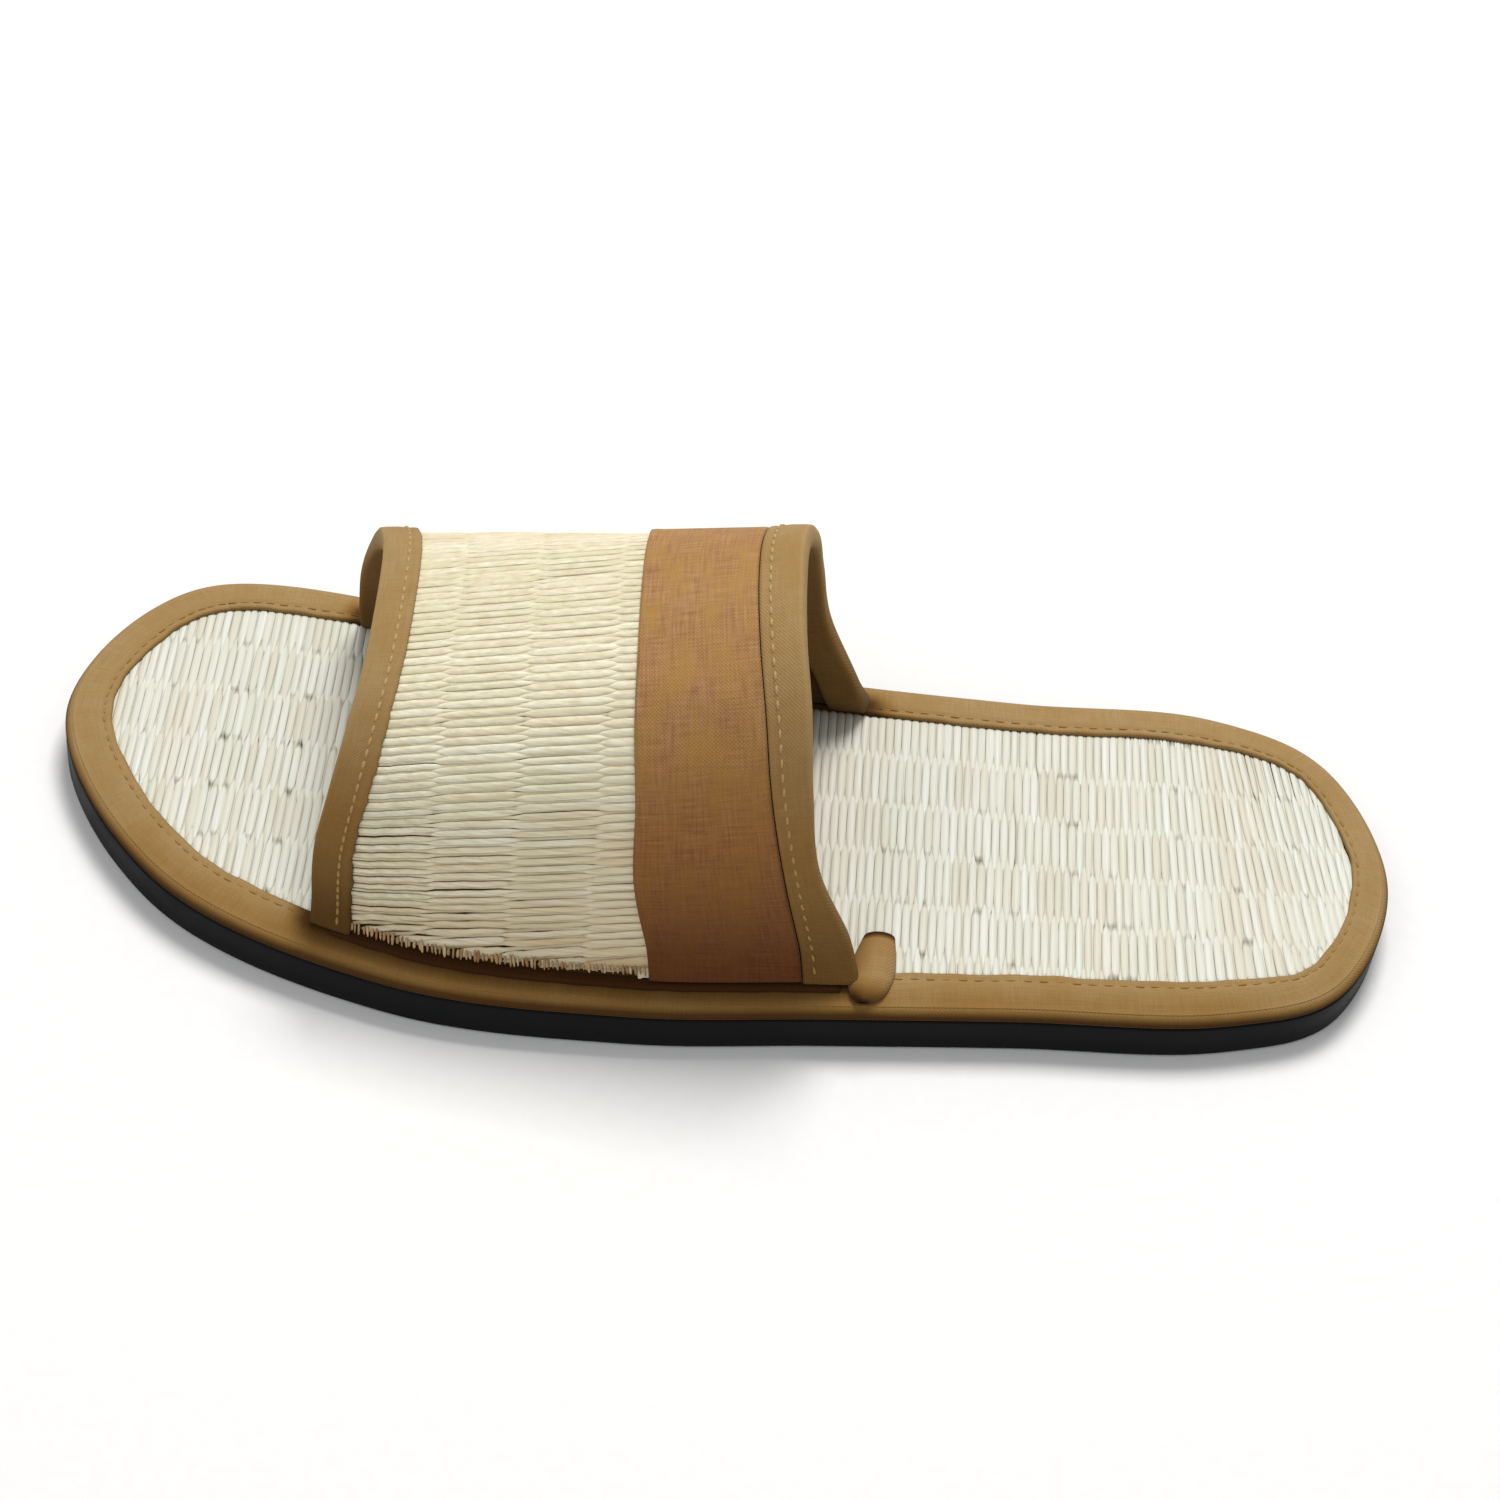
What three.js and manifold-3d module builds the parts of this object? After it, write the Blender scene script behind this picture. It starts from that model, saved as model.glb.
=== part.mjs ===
// Woven mat slipper for the left foot, in millimetres.
// The toe points to -Y, the little toe's side is +X and +Z is up. The origin lies on the floor,
// under the middle of the sole's outline.
import * as THREE from "three";
import { mergeVertices } from "three/addons/utils/BufferGeometryUtils.js";
import Module from "manifold-3d";

const wasm = await Module();
wasm.setup();

// Sole sizes
const length = 275;
const ballWidth = 102;
const waistWidth = 86;
const heelWidth = 83;
const outsoleThickness = 8.6;
const outsoleEdgeRound = 0.9;
const roundShare = 0.3; // where the flats of a rounded edge meet, as a share of its rounding

// Wave tread
const groovePitch = 16.3;
const grooveWidth = 4.6;
const grooveDepth = 1.8;
const grooveLean = 0.3; // share of the groove's depth that its walls lean
const waveLength = 29;
const waveSwing = 5.6;
const treadRim = 4;

// Footbed: a board with the mat on it, bound round its edge with a folded tape
const footbedThickness = 3;
const tapeThickness = 0.8;
const edgeFlange = 9.5;
const edgeUnderFlange = 3;
const edgeRound = 1.1;
const foldRound = 0.6; // share of the tape's thickness rounded off where it folds
const matReach = 0.6; // half width of the mat before it is trimmed, as a share of the ball's width

// Weave: straws in pairs over and under the warp threads
const strawPitch = 3.2;
const warpPitch = 15.6;
const weaveRelief = 0.35;

// Strap
const strapFront = -79.5;
const strapDepth = 110.5;
const strapFrontHeight = 49.7;
const strapBackHeight = 70.8;
const crownShift = -3.3;
const strapWall = 2.4;
const archSquareness = 2.45;
const archBulge = 0.8;
const strapFootReach = 5.4;
const strapFootThickness = 1.4;
const frontBindingWidth = 7.2;
const bindingInsideWidth = 7.4;
const bandThickness = 0.8;

// Fits
const clearance = 0.3;
const cutMargin = 1; // how far a cutting solid goes past the faces that it trims
const weldDistance = 1e-4;
const tiny = 1e-9;

// Steps of the faceted surfaces, and the finer ones that lengths are measured with
const outlineSteps = 90;
const outlineFineSteps = 1200;
const waveSteps = 5;
const pocketSteps = 16;
const coverSteps = 30;
const coverSearchSteps = 240;
const archFineSteps = 400;
const turnReach = 0.004; // reach of the samples that give the strap's normal
const depthReach = 0.05;

const footbedTop = outsoleThickness + footbedThickness;
const tapeTop = footbedTop + tapeThickness;

// Outline of the sole from the toe tip round the little toe's side to the heel and back.
// across is a share of the width named in the row, along is a share of the length.
const outlineRows = [
  { place: "toe tip", across: -0.127, width: ballWidth, along: -0.5 },
  { place: "small toes", across: 0.296, width: ballWidth, along: -0.411 },
  { place: "outer ball", across: 0.502, width: ballWidth, along: -0.236 },
  { place: "outer mid", across: 0.524, width: ballWidth, along: -0.061 },
  { place: "outer arch", across: 0.574, width: waistWidth, along: 0.078 },
  { place: "outer waist", across: 0.527, width: waistWidth, along: 0.217 },
  { place: "outer heel", across: 0.499, width: heelWidth, along: 0.369 },
  { place: "outer heel corner", across: 0.377, width: heelWidth, along: 0.456 },
  { place: "heel end", across: 0, width: heelWidth, along: 0.5 },
  { place: "inner heel corner", across: -0.377, width: heelWidth, along: 0.456 },
  { place: "inner heel", across: -0.499, width: heelWidth, along: 0.369 },
  { place: "inner waist", across: -0.47, width: waistWidth, along: 0.217 },
  { place: "inner arch", across: -0.488, width: waistWidth, along: 0.003 },
  { place: "inner ball", across: -0.487, width: ballWidth, along: -0.21 },
  { place: "big toe", across: -0.487, width: ballWidth, along: -0.424 },
];

// Strap edges and seams. up runs from the foot of the arch (0) to its crown (1), and the other
// columns are shares of the strap's depth, measured back from its front foot.
const strapRows = [
  { up: 0, front: 0, band: 0.602, fold: 0.905, back: 1 },
  { up: 0.2, front: 0.002, band: 0.557, fold: 0.832, back: 0.9 },
  { up: 0.4, front: 0.023, band: 0.545, fold: 0.778, back: 0.848 },
  { up: 0.6, front: 0.044, band: 0.53, fold: 0.752, back: 0.82 },
  { up: 0.8, front: 0.06, band: 0.523, fold: 0.73, back: 0.797 },
  { up: 1, front: 0.065, band: 0.519, fold: 0.72, back: 0.789 },
];

// Outline as an evenly stepped ring, with the inward direction at each step
function makeOutline() {
  const points = outlineRows.map((row) => new THREE.Vector3(row.across * row.width, row.along * length, 0));
  const curve = new THREE.CatmullRomCurve3(points, true, "centripetal");
  const fine = curve.getPoints(outlineFineSteps);
  const box = new THREE.Box3().setFromPoints(fine);
  const middle = box.getCenter(new THREE.Vector3());
  const steps = [];
  for (let i = 0; i < outlineSteps; i += 1) {
    const share = i / outlineSteps;
    const tangent = curve.getTangentAt(share);
    const inward = new THREE.Vector3(-tangent.y, tangent.x, 0).normalize();
    steps.push({ point: curve.getPointAt(share).sub(middle), inward });
  }
  return steps;
}

const outline = makeOutline();

function outlineRing(inset, z) {
  return outline.map((step) => new THREE.Vector3(
    step.point.x + step.inward.x * inset,
    step.point.y + step.inward.y * inset,
    z,
  ));
}

// Point on the outline's inset line at a place along the foot, on one side of it
function rimPoint(side, y, inset) {
  const ring = outlineRing(inset, 0);
  let best = null;
  ring.forEach((a, i) => {
    const b = ring[(i + 1) % ring.length];
    const crosses = (a.y - y) * (b.y - y) <= 0 && a.y !== b.y;
    const onSide = (a.x + b.x) * side > 0;
    if (crosses && onSide) {
      const share = (y - a.y) / (b.y - a.y);
      best = a.clone().lerp(b, share);
    }
  });
  return best;
}

// Faces that close a flat ring, in the ring's own order
function flatFaces(ring, axes) {
  const flat = ring.map((p) => new THREE.Vector2(p[axes[0]], p[axes[1]]));
  const faces = THREE.ShapeUtils.triangulateShape(flat, []);
  return THREE.ShapeUtils.isClockWise(flat) ? faces.map(([a, b, c]) => [a, c, b]) : faces;
}

// Faces that close a long bent ring, in the ring's own order. The first points run from front to
// back on one side, and the others come back on the other side.
function zipFaces(ring, split) {
  const last = ring.length - 1;
  const faces = [];
  let near = 0;
  let far = last;
  while (near < split - 1 || far > split) {
    const nearNext = near < split - 1 ? ring[near + 1].y : Infinity;
    const farNext = far > split ? ring[far - 1].y : Infinity;
    if (nearNext <= farNext) {
      faces.push([near, near + 1, far]);
      near += 1;
    } else {
      faces.push([near, far - 1, far]);
      far -= 1;
    }
  }
  return faces;
}

// Solid from equal rings of points. Without a cap the last ring joins the first. With one, cap
// gives the faces that close the first ring and the last.
function loft(rings, cap) {
  const count = rings[0].length;
  const positions = rings.flat().flatMap((p) => [p.x, p.y, p.z]);
  const index = [];
  const spans = cap ? rings.length - 1 : rings.length;
  for (let r = 0; r < spans; r += 1) {
    const low = r * count;
    const high = ((r + 1) % rings.length) * count;
    for (let i = 0; i < count; i += 1) {
      const j = (i + 1) % count;
      index.push(low + i, low + j, high + j, low + i, high + j, high + i);
    }
  }
  if (cap) {
    const end = (rings.length - 1) * count;
    cap(rings[0]).forEach(([a, b, c]) => index.push(a, c, b));
    cap(rings[rings.length - 1]).forEach(([a, b, c]) => index.push(end + a, end + b, end + c));
  }
  return outward(positions, index);
}

const capLevel = (ring) => flatFaces(ring, ["x", "y"]);
const capAcross = (ring) => flatFaces(ring, ["x", "z"]);
const capAlong = (ring) => flatFaces(ring, ["y", "z"]);

function signedVolume(positions, index) {
  const a = new THREE.Vector3();
  const b = new THREE.Vector3();
  const c = new THREE.Vector3();
  let total = 0;
  for (let i = 0; i < index.length; i += 3) {
    a.fromArray(positions, index[i] * 3);
    b.fromArray(positions, index[i + 1] * 3);
    c.fromArray(positions, index[i + 2] * 3);
    total += a.dot(b.cross(c));
  }
  return total / 6;
}

// Geometry with its faces pointing out
function outward(positions, index) {
  const faces = index.slice();
  if (signedVolume(positions, faces) < 0) {
    for (let i = 0; i < faces.length; i += 3) {
      [faces[i + 1], faces[i + 2]] = [faces[i + 2], faces[i + 1]];
    }
  }
  const geometry = new THREE.BufferGeometry();
  geometry.setAttribute("position", new THREE.Float32BufferAttribute(positions, 3));
  geometry.setIndex(faces);
  return geometry;
}

function toSolid(geometry) {
  const clean = geometry.clone();
  clean.deleteAttribute("normal");
  clean.deleteAttribute("uv");
  const merged = mergeVertices(clean, weldDistance);
  return new wasm.Manifold(new wasm.Mesh({
    numProp: 3,
    vertProperties: new Float32Array(merged.getAttribute("position").array),
    triVerts: new Uint32Array(merged.getIndex().array),
  }));
}

function toGeometry(solid) {
  const mesh = solid.getMesh();
  const geometry = new THREE.BufferGeometry();
  geometry.setAttribute("position", new THREE.Float32BufferAttribute(mesh.vertProperties, 3));
  geometry.setIndex(Array.from(mesh.triVerts));
  return geometry;
}

function makePiece(name, geometry, colour, roughness) {
  const shown = geometry.clone();
  shown.computeVertexNormals();
  const material = new THREE.MeshStandardMaterial({ color: colour, roughness, metalness: 0 });
  material.name = name;
  const piece = new THREE.Mesh(shown, material);
  piece.name = name;
  return piece;
}

// Flat plate with the outline's shape between two heights
function outlinePlate(inset, low, high) {
  return loft([outlineRing(inset, low), outlineRing(inset, high)], capLevel);
}

// One wavy groove across the tread, its walls leaning out towards the floor
function makeGroove(y) {
  const reach = ballWidth / 2 + waveSwing;
  const count = Math.ceil((2 * reach * waveSteps) / waveLength);
  const wallLean = grooveDepth * grooveLean;
  const rings = [];
  for (let i = 0; i <= count; i += 1) {
    const x = -reach + (2 * reach * i) / count;
    const middle = y + waveSwing * Math.cos((2 * Math.PI * x) / waveLength);
    const mouth = grooveWidth / 2 + wallLean;
    const bed = grooveWidth / 2 - wallLean;
    rings.push([
      new THREE.Vector3(x, middle - mouth, -grooveDepth),
      new THREE.Vector3(x, middle + mouth, -grooveDepth),
      new THREE.Vector3(x, middle + mouth, 0),
      new THREE.Vector3(x, middle + bed, grooveDepth),
      new THREE.Vector3(x, middle - bed, grooveDepth),
      new THREE.Vector3(x, middle - mouth, 0),
    ]);
  }
  return toSolid(loft(rings, capAlong));
}

function makeOutsole() {
  const block = toSolid(loft([
    outlineRing(outsoleEdgeRound, 0),
    outlineRing(outsoleEdgeRound * roundShare, outsoleEdgeRound * roundShare),
    outlineRing(0, outsoleEdgeRound),
    outlineRing(0, outsoleThickness),
  ], capLevel));
  const count = Math.ceil(length / groovePitch);
  let grooves = null;
  for (let i = 0; i <= count; i += 1) {
    const y = (i - count / 2) * groovePitch;
    const groove = makeGroove(y);
    grooves = grooves ? grooves.add(groove) : groove;
  }
  const field = toSolid(outlinePlate(treadRim, -grooveDepth, grooveDepth));
  return toGeometry(block.subtract(grooves.intersect(field)));
}

// Places across a width on the warp lines' columns and between them, where column is null
function warpStops(from, to) {
  const columns = Math.max(1, Math.round((to - from) / warpPitch));
  const stops = [];
  for (let i = 1; i < columns * 2; i += 1) {
    stops.push({ at: from + ((to - from) * i) / (columns * 2), column: i % 2 === 1 ? (i - 1) / 2 : null });
  }
  return stops;
}

// Height of the weave over its bed: a straw is up in every other column and down between them
function weaveHeight(row, column) {
  if (column === null) return weaveRelief / 2;
  return (row + column) % 2 === 0 ? weaveRelief : 0;
}

// Mat on the footbed: straws run across the foot, so the rows follow one another along it
function makeFootbedMat() {
  const reach = ballWidth * matReach;
  const matInset = edgeFlange + clearance;
  const rows = Math.round(length / strawPitch);
  const bed = footbedTop - footbedThickness / 2;
  const stops = [{ at: -reach, column: null }, ...warpStops(-reach, reach), { at: reach, column: null }];
  const rings = [];
  for (let r = 0; r <= rows; r += 1) {
    const y = -length / 2 + (length * r) / rows;
    const top = stops.map((stop) => new THREE.Vector3(stop.at, y, footbedTop + weaveHeight(r, stop.column)));
    rings.push([...top, new THREE.Vector3(reach, y, bed), new THREE.Vector3(-reach, y, bed)]);
  }
  const slab = toSolid(loft(rings, capAcross));
  const field = toSolid(outlinePlate(matInset, bed - cutMargin, tapeTop + cutMargin));
  return slab.intersect(field);
}

// Pocket in the footbed's rim that takes one foot of the strap
function makeFootPocket(turn) {
  const floor = footbedTop - clearance - strapFootThickness - clearance;
  const roof = tapeTop + edgeFlange;
  const rings = [];
  for (let i = 0; i <= pocketSteps; i += 1) {
    const depth = i / pocketSteps;
    const endShift = { 0: -clearance, [pocketSteps]: clearance }[i] ?? 0;
    const out = strapOffset(turn, depth, strapFootReach + clearance);
    const inside = strapOffset(turn, depth, -strapWall - 2 * clearance);
    const corners = [out.clone().setZ(floor), inside.clone().setZ(floor)];
    corners.push(inside.clone().setZ(roof), out.clone().setZ(roof));
    rings.push(corners.map((p) => p.setY(p.y + endShift)));
  }
  return toSolid(loft(rings, capAcross));
}

function makeFootbed() {
  const rimInset = tapeThickness + clearance;
  const stepInset = edgeUnderFlange + clearance;
  const stepHeight = outsoleThickness + tapeThickness;
  const board = toSolid(loft([
    outlineRing(stepInset, outsoleThickness),
    outlineRing(stepInset, stepHeight),
    outlineRing(rimInset, stepHeight),
    outlineRing(rimInset, footbedTop),
  ], capLevel));
  return toGeometry(board
    .add(makeFootbedMat())
    .subtract(makeFootPocket(0))
    .subtract(makeFootPocket(1)));
}

// Tape folded round the footbed's edge: a narrow flange below, a wall and the wide flange on top
function makeEdgeBinding() {
  const low = outsoleThickness;
  const inside = tapeThickness;
  return loft([
    outlineRing(edgeUnderFlange, low),
    outlineRing(0, low),
    outlineRing(0, tapeTop - edgeRound),
    outlineRing(edgeRound * roundShare, tapeTop - edgeRound * roundShare),
    outlineRing(edgeRound, tapeTop),
    outlineRing(edgeFlange, tapeTop),
    outlineRing(edgeFlange, footbedTop),
    outlineRing(inside, footbedTop),
    outlineRing(inside, low + tapeThickness),
    outlineRing(edgeUnderFlange, low + tapeThickness),
  ], null);
}

// Place along the foot of one of the strap's lines, at a turn from 0 at one foot to 1 at the other
function strapPlace(column, turn) {
  const up = 1 - Math.abs(1 - 2 * turn);
  const last = strapRows.length - 1;
  const k = Math.min(strapRows.findIndex((row) => row.up >= up - tiny), last);
  const high = strapRows[Math.max(k, 1)];
  const low = strapRows[Math.max(k, 1) - 1];
  const blend = (up - low.up) / (high.up - low.up);
  return strapFront + strapDepth * THREE.MathUtils.lerp(low[column], high[column], blend);
}

// Outer face of the strap: an arch between the two inner edges of the tape, higher at the back.
// turn is 0 at the outer foot and 1 at the inner one, depth is 0 at the front edge and 1 at the back.
function strapPoint(turn, depth) {
  const front = strapPlace("front", turn);
  const y = THREE.MathUtils.lerp(front, strapPlace("back", turn), depth);
  const angle = Math.PI * turn;
  const power = 2 / archSquareness;
  const across = Math.sign(Math.cos(angle)) * Math.abs(Math.cos(angle)) ** power;
  const lift = Math.abs(Math.sin(angle)) ** power;
  const side = turn < 0.5 ? 1 : -1;
  const rim = rimPoint(side, y, edgeFlange + clearance).x;
  const height = THREE.MathUtils.lerp(strapFrontHeight, strapBackHeight, depth);
  const bulge = archBulge * Math.sin(Math.PI * Math.min(lift, 1)) * side;
  const x = crownShift + Math.abs(rim - crownShift) * across + bulge;
  return new THREE.Vector3(x, y, footbedTop + height * lift);
}

// Direction away from the strap's outer face, kept level at the two feet
function strapNormal(turn, depth) {
  const a = Math.max(turn - turnReach, 0);
  const b = Math.min(turn + turnReach, 1);
  const c = Math.max(depth - depthReach, 0);
  const d = Math.min(depth + depthReach, 1);
  const round = strapPoint(b, depth).sub(strapPoint(a, depth));
  const along = strapPoint(turn, d).sub(strapPoint(turn, c));
  const normal = along.cross(round).normalize();
  const level = turn === 0 || turn === 1;
  if (level) normal.setZ(0).normalize();
  return normal;
}

// Point at a height over the strap's outer face
function strapOffset(turn, depth, height) {
  return strapPoint(turn, depth).addScaledVector(strapNormal(turn, depth), height);
}

// Depth share of a line at a turn
function strapShare(column, turn) {
  const front = strapPlace("front", turn);
  const back = strapPlace("back", turn);
  return (strapPlace(column, turn) - front) / (back - front);
}

// Distances from the outer foot round the middle of the arch
function makeArchLengths() {
  const lengths = [0];
  let last = strapPoint(0, 0.5);
  for (let i = 1; i <= archFineSteps; i += 1) {
    const next = strapPoint(i / archFineSteps, 0.5);
    lengths.push(lengths[i - 1] + next.distanceTo(last));
    last = next;
  }
  return lengths;
}

const archLengths = makeArchLengths();
const archLength = archLengths[archFineSteps];

// Turns that step evenly round the arch
function evenTurns(count) {
  const turns = [];
  for (let i = 0; i <= count; i += 1) {
    const want = (archLength * i) / count;
    const k = Math.max(1, archLengths.findIndex((value) => value >= want - tiny));
    const blend = (want - archLengths[k - 1]) / (archLengths[k] - archLengths[k - 1]);
    turns.push((k - 1 + blend) / archFineSteps);
  }
  turns[0] = 0;
  turns[count] = 1;
  return turns;
}

function strapSpan(turn) {
  return strapPoint(turn, 1).distanceTo(strapPoint(turn, 0));
}

// Depth stops across the strap at a turn: the front edge, the mat between its tape and the band
// with its warp lines, the band, the back tape and the back edge
function strapStops(turn) {
  const matSpan = strapSpan(0.5) * strapShare("band", 0.5) - frontBindingWidth;
  const columns = Math.max(2, Math.round(matSpan / warpPitch));
  const start = frontBindingWidth / strapSpan(turn);
  const band = strapShare("band", turn);
  const fold = strapShare("fold", turn);
  const stops = [{ depth: 0, column: null, flat: true }, { depth: start, column: null, flat: true }];
  for (let i = 1; i < columns * 2; i += 1) {
    const depth = start + ((band - start) * i) / (columns * 2);
    stops.push({ depth, column: i % 2 === 1 ? (i - 1) / 2 : null, flat: false });
  }
  [band, (band + fold) / 2, fold, 1].forEach((depth) => stops.push({ depth, column: null, flat: true }));
  return stops;
}

// Section of the strap's wall at a turn, from its outer face and back along its inner one.
// lift gives the height over the outer face of each stop on the outer side.
function strapSection(turn, lift) {
  const stops = strapStops(turn);
  const outer = stops.map((stop) => strapOffset(turn, stop.depth, lift(stop)));
  const innerStops = stops.filter((stop) => stop.flat || stop.column !== null).reverse();
  const inner = innerStops.map((stop) => strapOffset(turn, stop.depth, -strapWall));
  return { outer, inner };
}

// Foot of the strap, turned out flat under the edge tape: a ring at some reach from the arch
function strapFoot(turn, reach) {
  const stops = strapStops(turn);
  const top = footbedTop - clearance;
  const outer = stops.map((stop) => strapOffset(turn, stop.depth, reach).setZ(top));
  const innerStops = stops.filter((stop) => stop.flat || stop.column !== null).reverse();
  const under = reach > 0 ? reach : -strapWall;
  const low = top - strapFootThickness;
  const inner = innerStops.map((stop) => strapOffset(turn, stop.depth, under).setZ(low));
  return [...outer, ...inner];
}

// Woven strap wall with its two feet
function makeStrap() {
  const turns = evenTurns(Math.round(archLength / strawPitch));
  const weave = (turn, row) => {
    const clear = strapPoint(turn, 0.5).z > tapeTop + weaveRelief;
    const section = strapSection(turn, (stop) => (stop.flat || !clear ? 0 : weaveHeight(row, stop.column)));
    return [...section.outer, ...section.inner];
  };
  const rings = [
    strapFoot(0, strapFootReach),
    strapFoot(0, 0),
    ...turns.map(weave),
    strapFoot(1, 0),
    strapFoot(1, strapFootReach),
  ];
  return loft(rings, (ring) => zipFaces(ring, strapStops(0).length));
}

// Turns for the smooth pieces on the strap, stopped just over the edge tape
function coverTurns() {
  const search = evenTurns(coverSearchSteps);
  const firstFree = search.find((turn) => strapPoint(turn, 0.5).z > tapeTop + clearance);
  const turns = [];
  for (let i = 0; i <= coverSteps; i += 1) {
    turns.push(firstFree + ((1 - 2 * firstFree) * i) / coverSteps);
  }
  return turns;
}

// Cloth band sewn on the mat, from the mat's end to the back tape
function makeBand() {
  const low = clearance;
  const high = low + bandThickness;
  const rings = coverTurns().map((turn) => {
    const from = strapShare("band", turn);
    const to = strapShare("fold", turn) - clearance / strapSpan(turn);
    const middle = (from + to) / 2;
    return [
      strapOffset(turn, from, high),
      strapOffset(turn, middle, high),
      strapOffset(turn, to, high),
      strapOffset(turn, to, low),
      strapOffset(turn, middle, low),
      strapOffset(turn, from, low),
    ];
  });
  return loft(rings, (ring) => zipFaces(ring, ring.length / 2));
}

// Tape folded round an edge of the strap: edge is 0 for the front one and 1 for the back one
function makeStrapBinding(edge) {
  const gap = clearance;
  const over = clearance + tapeThickness;
  const rounding = tapeThickness * foldRound;
  const rings = coverTurns().map((turn) => {
    const span = strapSpan(turn);
    const away = edge === 0 ? -1 : 1;
    const width = edge === 0 ? frontBindingWidth / span : 1 - strapShare("fold", turn);
    const flange = edge - away * width;
    const inside = edge - away * (bindingInsideWidth / span);
    const point = (depth, past, height) => {
      const clamped = THREE.MathUtils.clamp(depth, 0, 1);
      const base = strapOffset(turn, clamped, height);
      const along = strapPoint(turn, 1).sub(strapPoint(turn, 0)).normalize();
      return base.addScaledVector(along, away * past);
    };
    return [
      point(flange, 0, over),
      point(edge, gap, over),
      point(edge, over, over - rounding),
      point(edge, over, rounding - strapWall - over),
      point(edge, gap, -strapWall - over),
      point(inside, 0, -strapWall - over),
      point(inside, 0, -strapWall - gap),
      point(edge, gap, -strapWall - gap),
      point(edge, gap, gap),
      point(flange, 0, gap),
    ];
  });
  return loft(rings, capAlong);
}

const slipper = new THREE.Group();
slipper.name = "woven_mat_slipper";
slipper.add(makePiece("outsole", makeOutsole(), 0x17191a, 0.75));
slipper.add(makePiece("footbed", makeFootbed(), 0xdcdbc8, 0.8));
slipper.add(makePiece("edge_binding", makeEdgeBinding(), 0xa08259, 0.85));
slipper.add(makePiece("strap", makeStrap(), 0xdcd2b0, 0.8));
slipper.add(makePiece("strap_band", makeBand(), 0x956f4a, 0.9));
slipper.add(makePiece("binding_front", makeStrapBinding(0), 0x8f7648, 0.85));
slipper.add(makePiece("binding_back", makeStrapBinding(1), 0xa08259, 0.85));

export default slipper;
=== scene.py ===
import bmesh
import bpy
import math
import numpy as np
from mathutils import Matrix, Vector


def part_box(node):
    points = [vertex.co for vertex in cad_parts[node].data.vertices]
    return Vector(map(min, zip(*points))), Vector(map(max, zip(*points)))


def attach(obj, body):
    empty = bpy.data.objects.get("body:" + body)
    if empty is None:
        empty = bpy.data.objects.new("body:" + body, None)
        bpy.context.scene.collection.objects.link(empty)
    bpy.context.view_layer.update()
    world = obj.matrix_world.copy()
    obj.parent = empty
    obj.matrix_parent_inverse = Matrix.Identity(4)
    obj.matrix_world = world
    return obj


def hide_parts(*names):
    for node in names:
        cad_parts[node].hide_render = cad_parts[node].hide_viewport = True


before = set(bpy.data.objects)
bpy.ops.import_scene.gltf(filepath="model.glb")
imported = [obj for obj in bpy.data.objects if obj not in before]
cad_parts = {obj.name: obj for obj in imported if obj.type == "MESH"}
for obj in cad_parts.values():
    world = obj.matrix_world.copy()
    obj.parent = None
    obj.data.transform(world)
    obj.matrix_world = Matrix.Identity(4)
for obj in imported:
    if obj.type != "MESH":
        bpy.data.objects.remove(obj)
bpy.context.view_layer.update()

mm = 0.001  # shapes are worked out in millimetres and turned into metres once
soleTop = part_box("outsole")[1].z / mm
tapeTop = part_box("edge_binding")[1].z / mm
print("frame loaded:", ", ".join(sorted(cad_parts)))

tape = {
    "thick": 0.8,
    "flange": 9.5,  # width lying on the mat
    "heelFlange": 7.9,
    "heelFrom": 95,
    "heelOver": 32,
    "under": 3.0,  # width turned in under the footbed
    "fit": 0.3,
}
matTop = tapeTop - tape["thick"]


# The outline of the sole: the outsole's upper edge as a smooth closed line
outlineSteps = 720


def readOutline():
    co = np.array([v.co[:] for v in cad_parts["outsole"].data.vertices]) / mm
    edge = np.unique(co[co[:, 2] > soleTop - 0.01][:, :2].round(3), axis=0)
    edge = edge[np.argsort(np.arctan2(edge[:, 1], edge[:, 0]))]
    waves = np.fft.fft(edge[:, 0] + 1j * edge[:, 1])
    half = len(edge) // 2
    finer = np.zeros(outlineSteps, complex)
    finer[:half], finer[-half:] = waves[:half], waves[-half:]
    line = np.fft.ifft(finer) * outlineSteps / len(edge)
    slope = np.roll(line, -1) - np.roll(line, 1)
    return line, 1j * slope / abs(slope)


outline, outlineInward = readOutline()
outlineLength = abs(np.roll(outline, -1) - outline).sum()
outlineShares = np.arange(outlineSteps) / outlineSteps


def rimAt(share, inset):  # x and y at a share of the way round, moved inward
    place = np.asarray(share) * outlineSteps
    low = np.floor(place).astype(int)
    blend = place - low
    a, b = low % outlineSteps, (low + 1) % outlineSteps
    spot = outline[a] * (1 - blend) + outline[b] * blend
    way = outlineInward[a] * (1 - blend) + outlineInward[b] * blend
    spot = spot + way * inset
    return spot.real, spot.imag


def sideReach(y, inset):  # right and left x of the inset outline at places along the foot
    x, along = rimAt(outlineShares, inset)
    toe, heel = np.argmin(along), np.argmax(along)
    ring = np.arange(outlineSteps)
    first = (ring - toe) % outlineSteps <= (heel - toe) % outlineSteps
    chains = []
    for keep in (first, ~first):
        order = np.argsort(along[keep])
        chains.append(np.interp(y, along[keep][order], x[keep][order]))
    return np.maximum(*chains), np.minimum(*chains)


def footSpan(inset):  # lowest and highest y of the inset outline
    along = rimAt(outlineShares, inset)[1]
    return along.min(), along.max()


def flangeAt(share):  # the tape lies narrower round the heel
    toHeel = np.clip((rimAt(share, 0)[1] - tape["heelFrom"]) / tape["heelOver"], 0, 1)
    return tape["flange"] + (tape["heelFlange"] - tape["flange"]) * toHeel * toHeel * (3 - 2 * toHeel)


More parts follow.
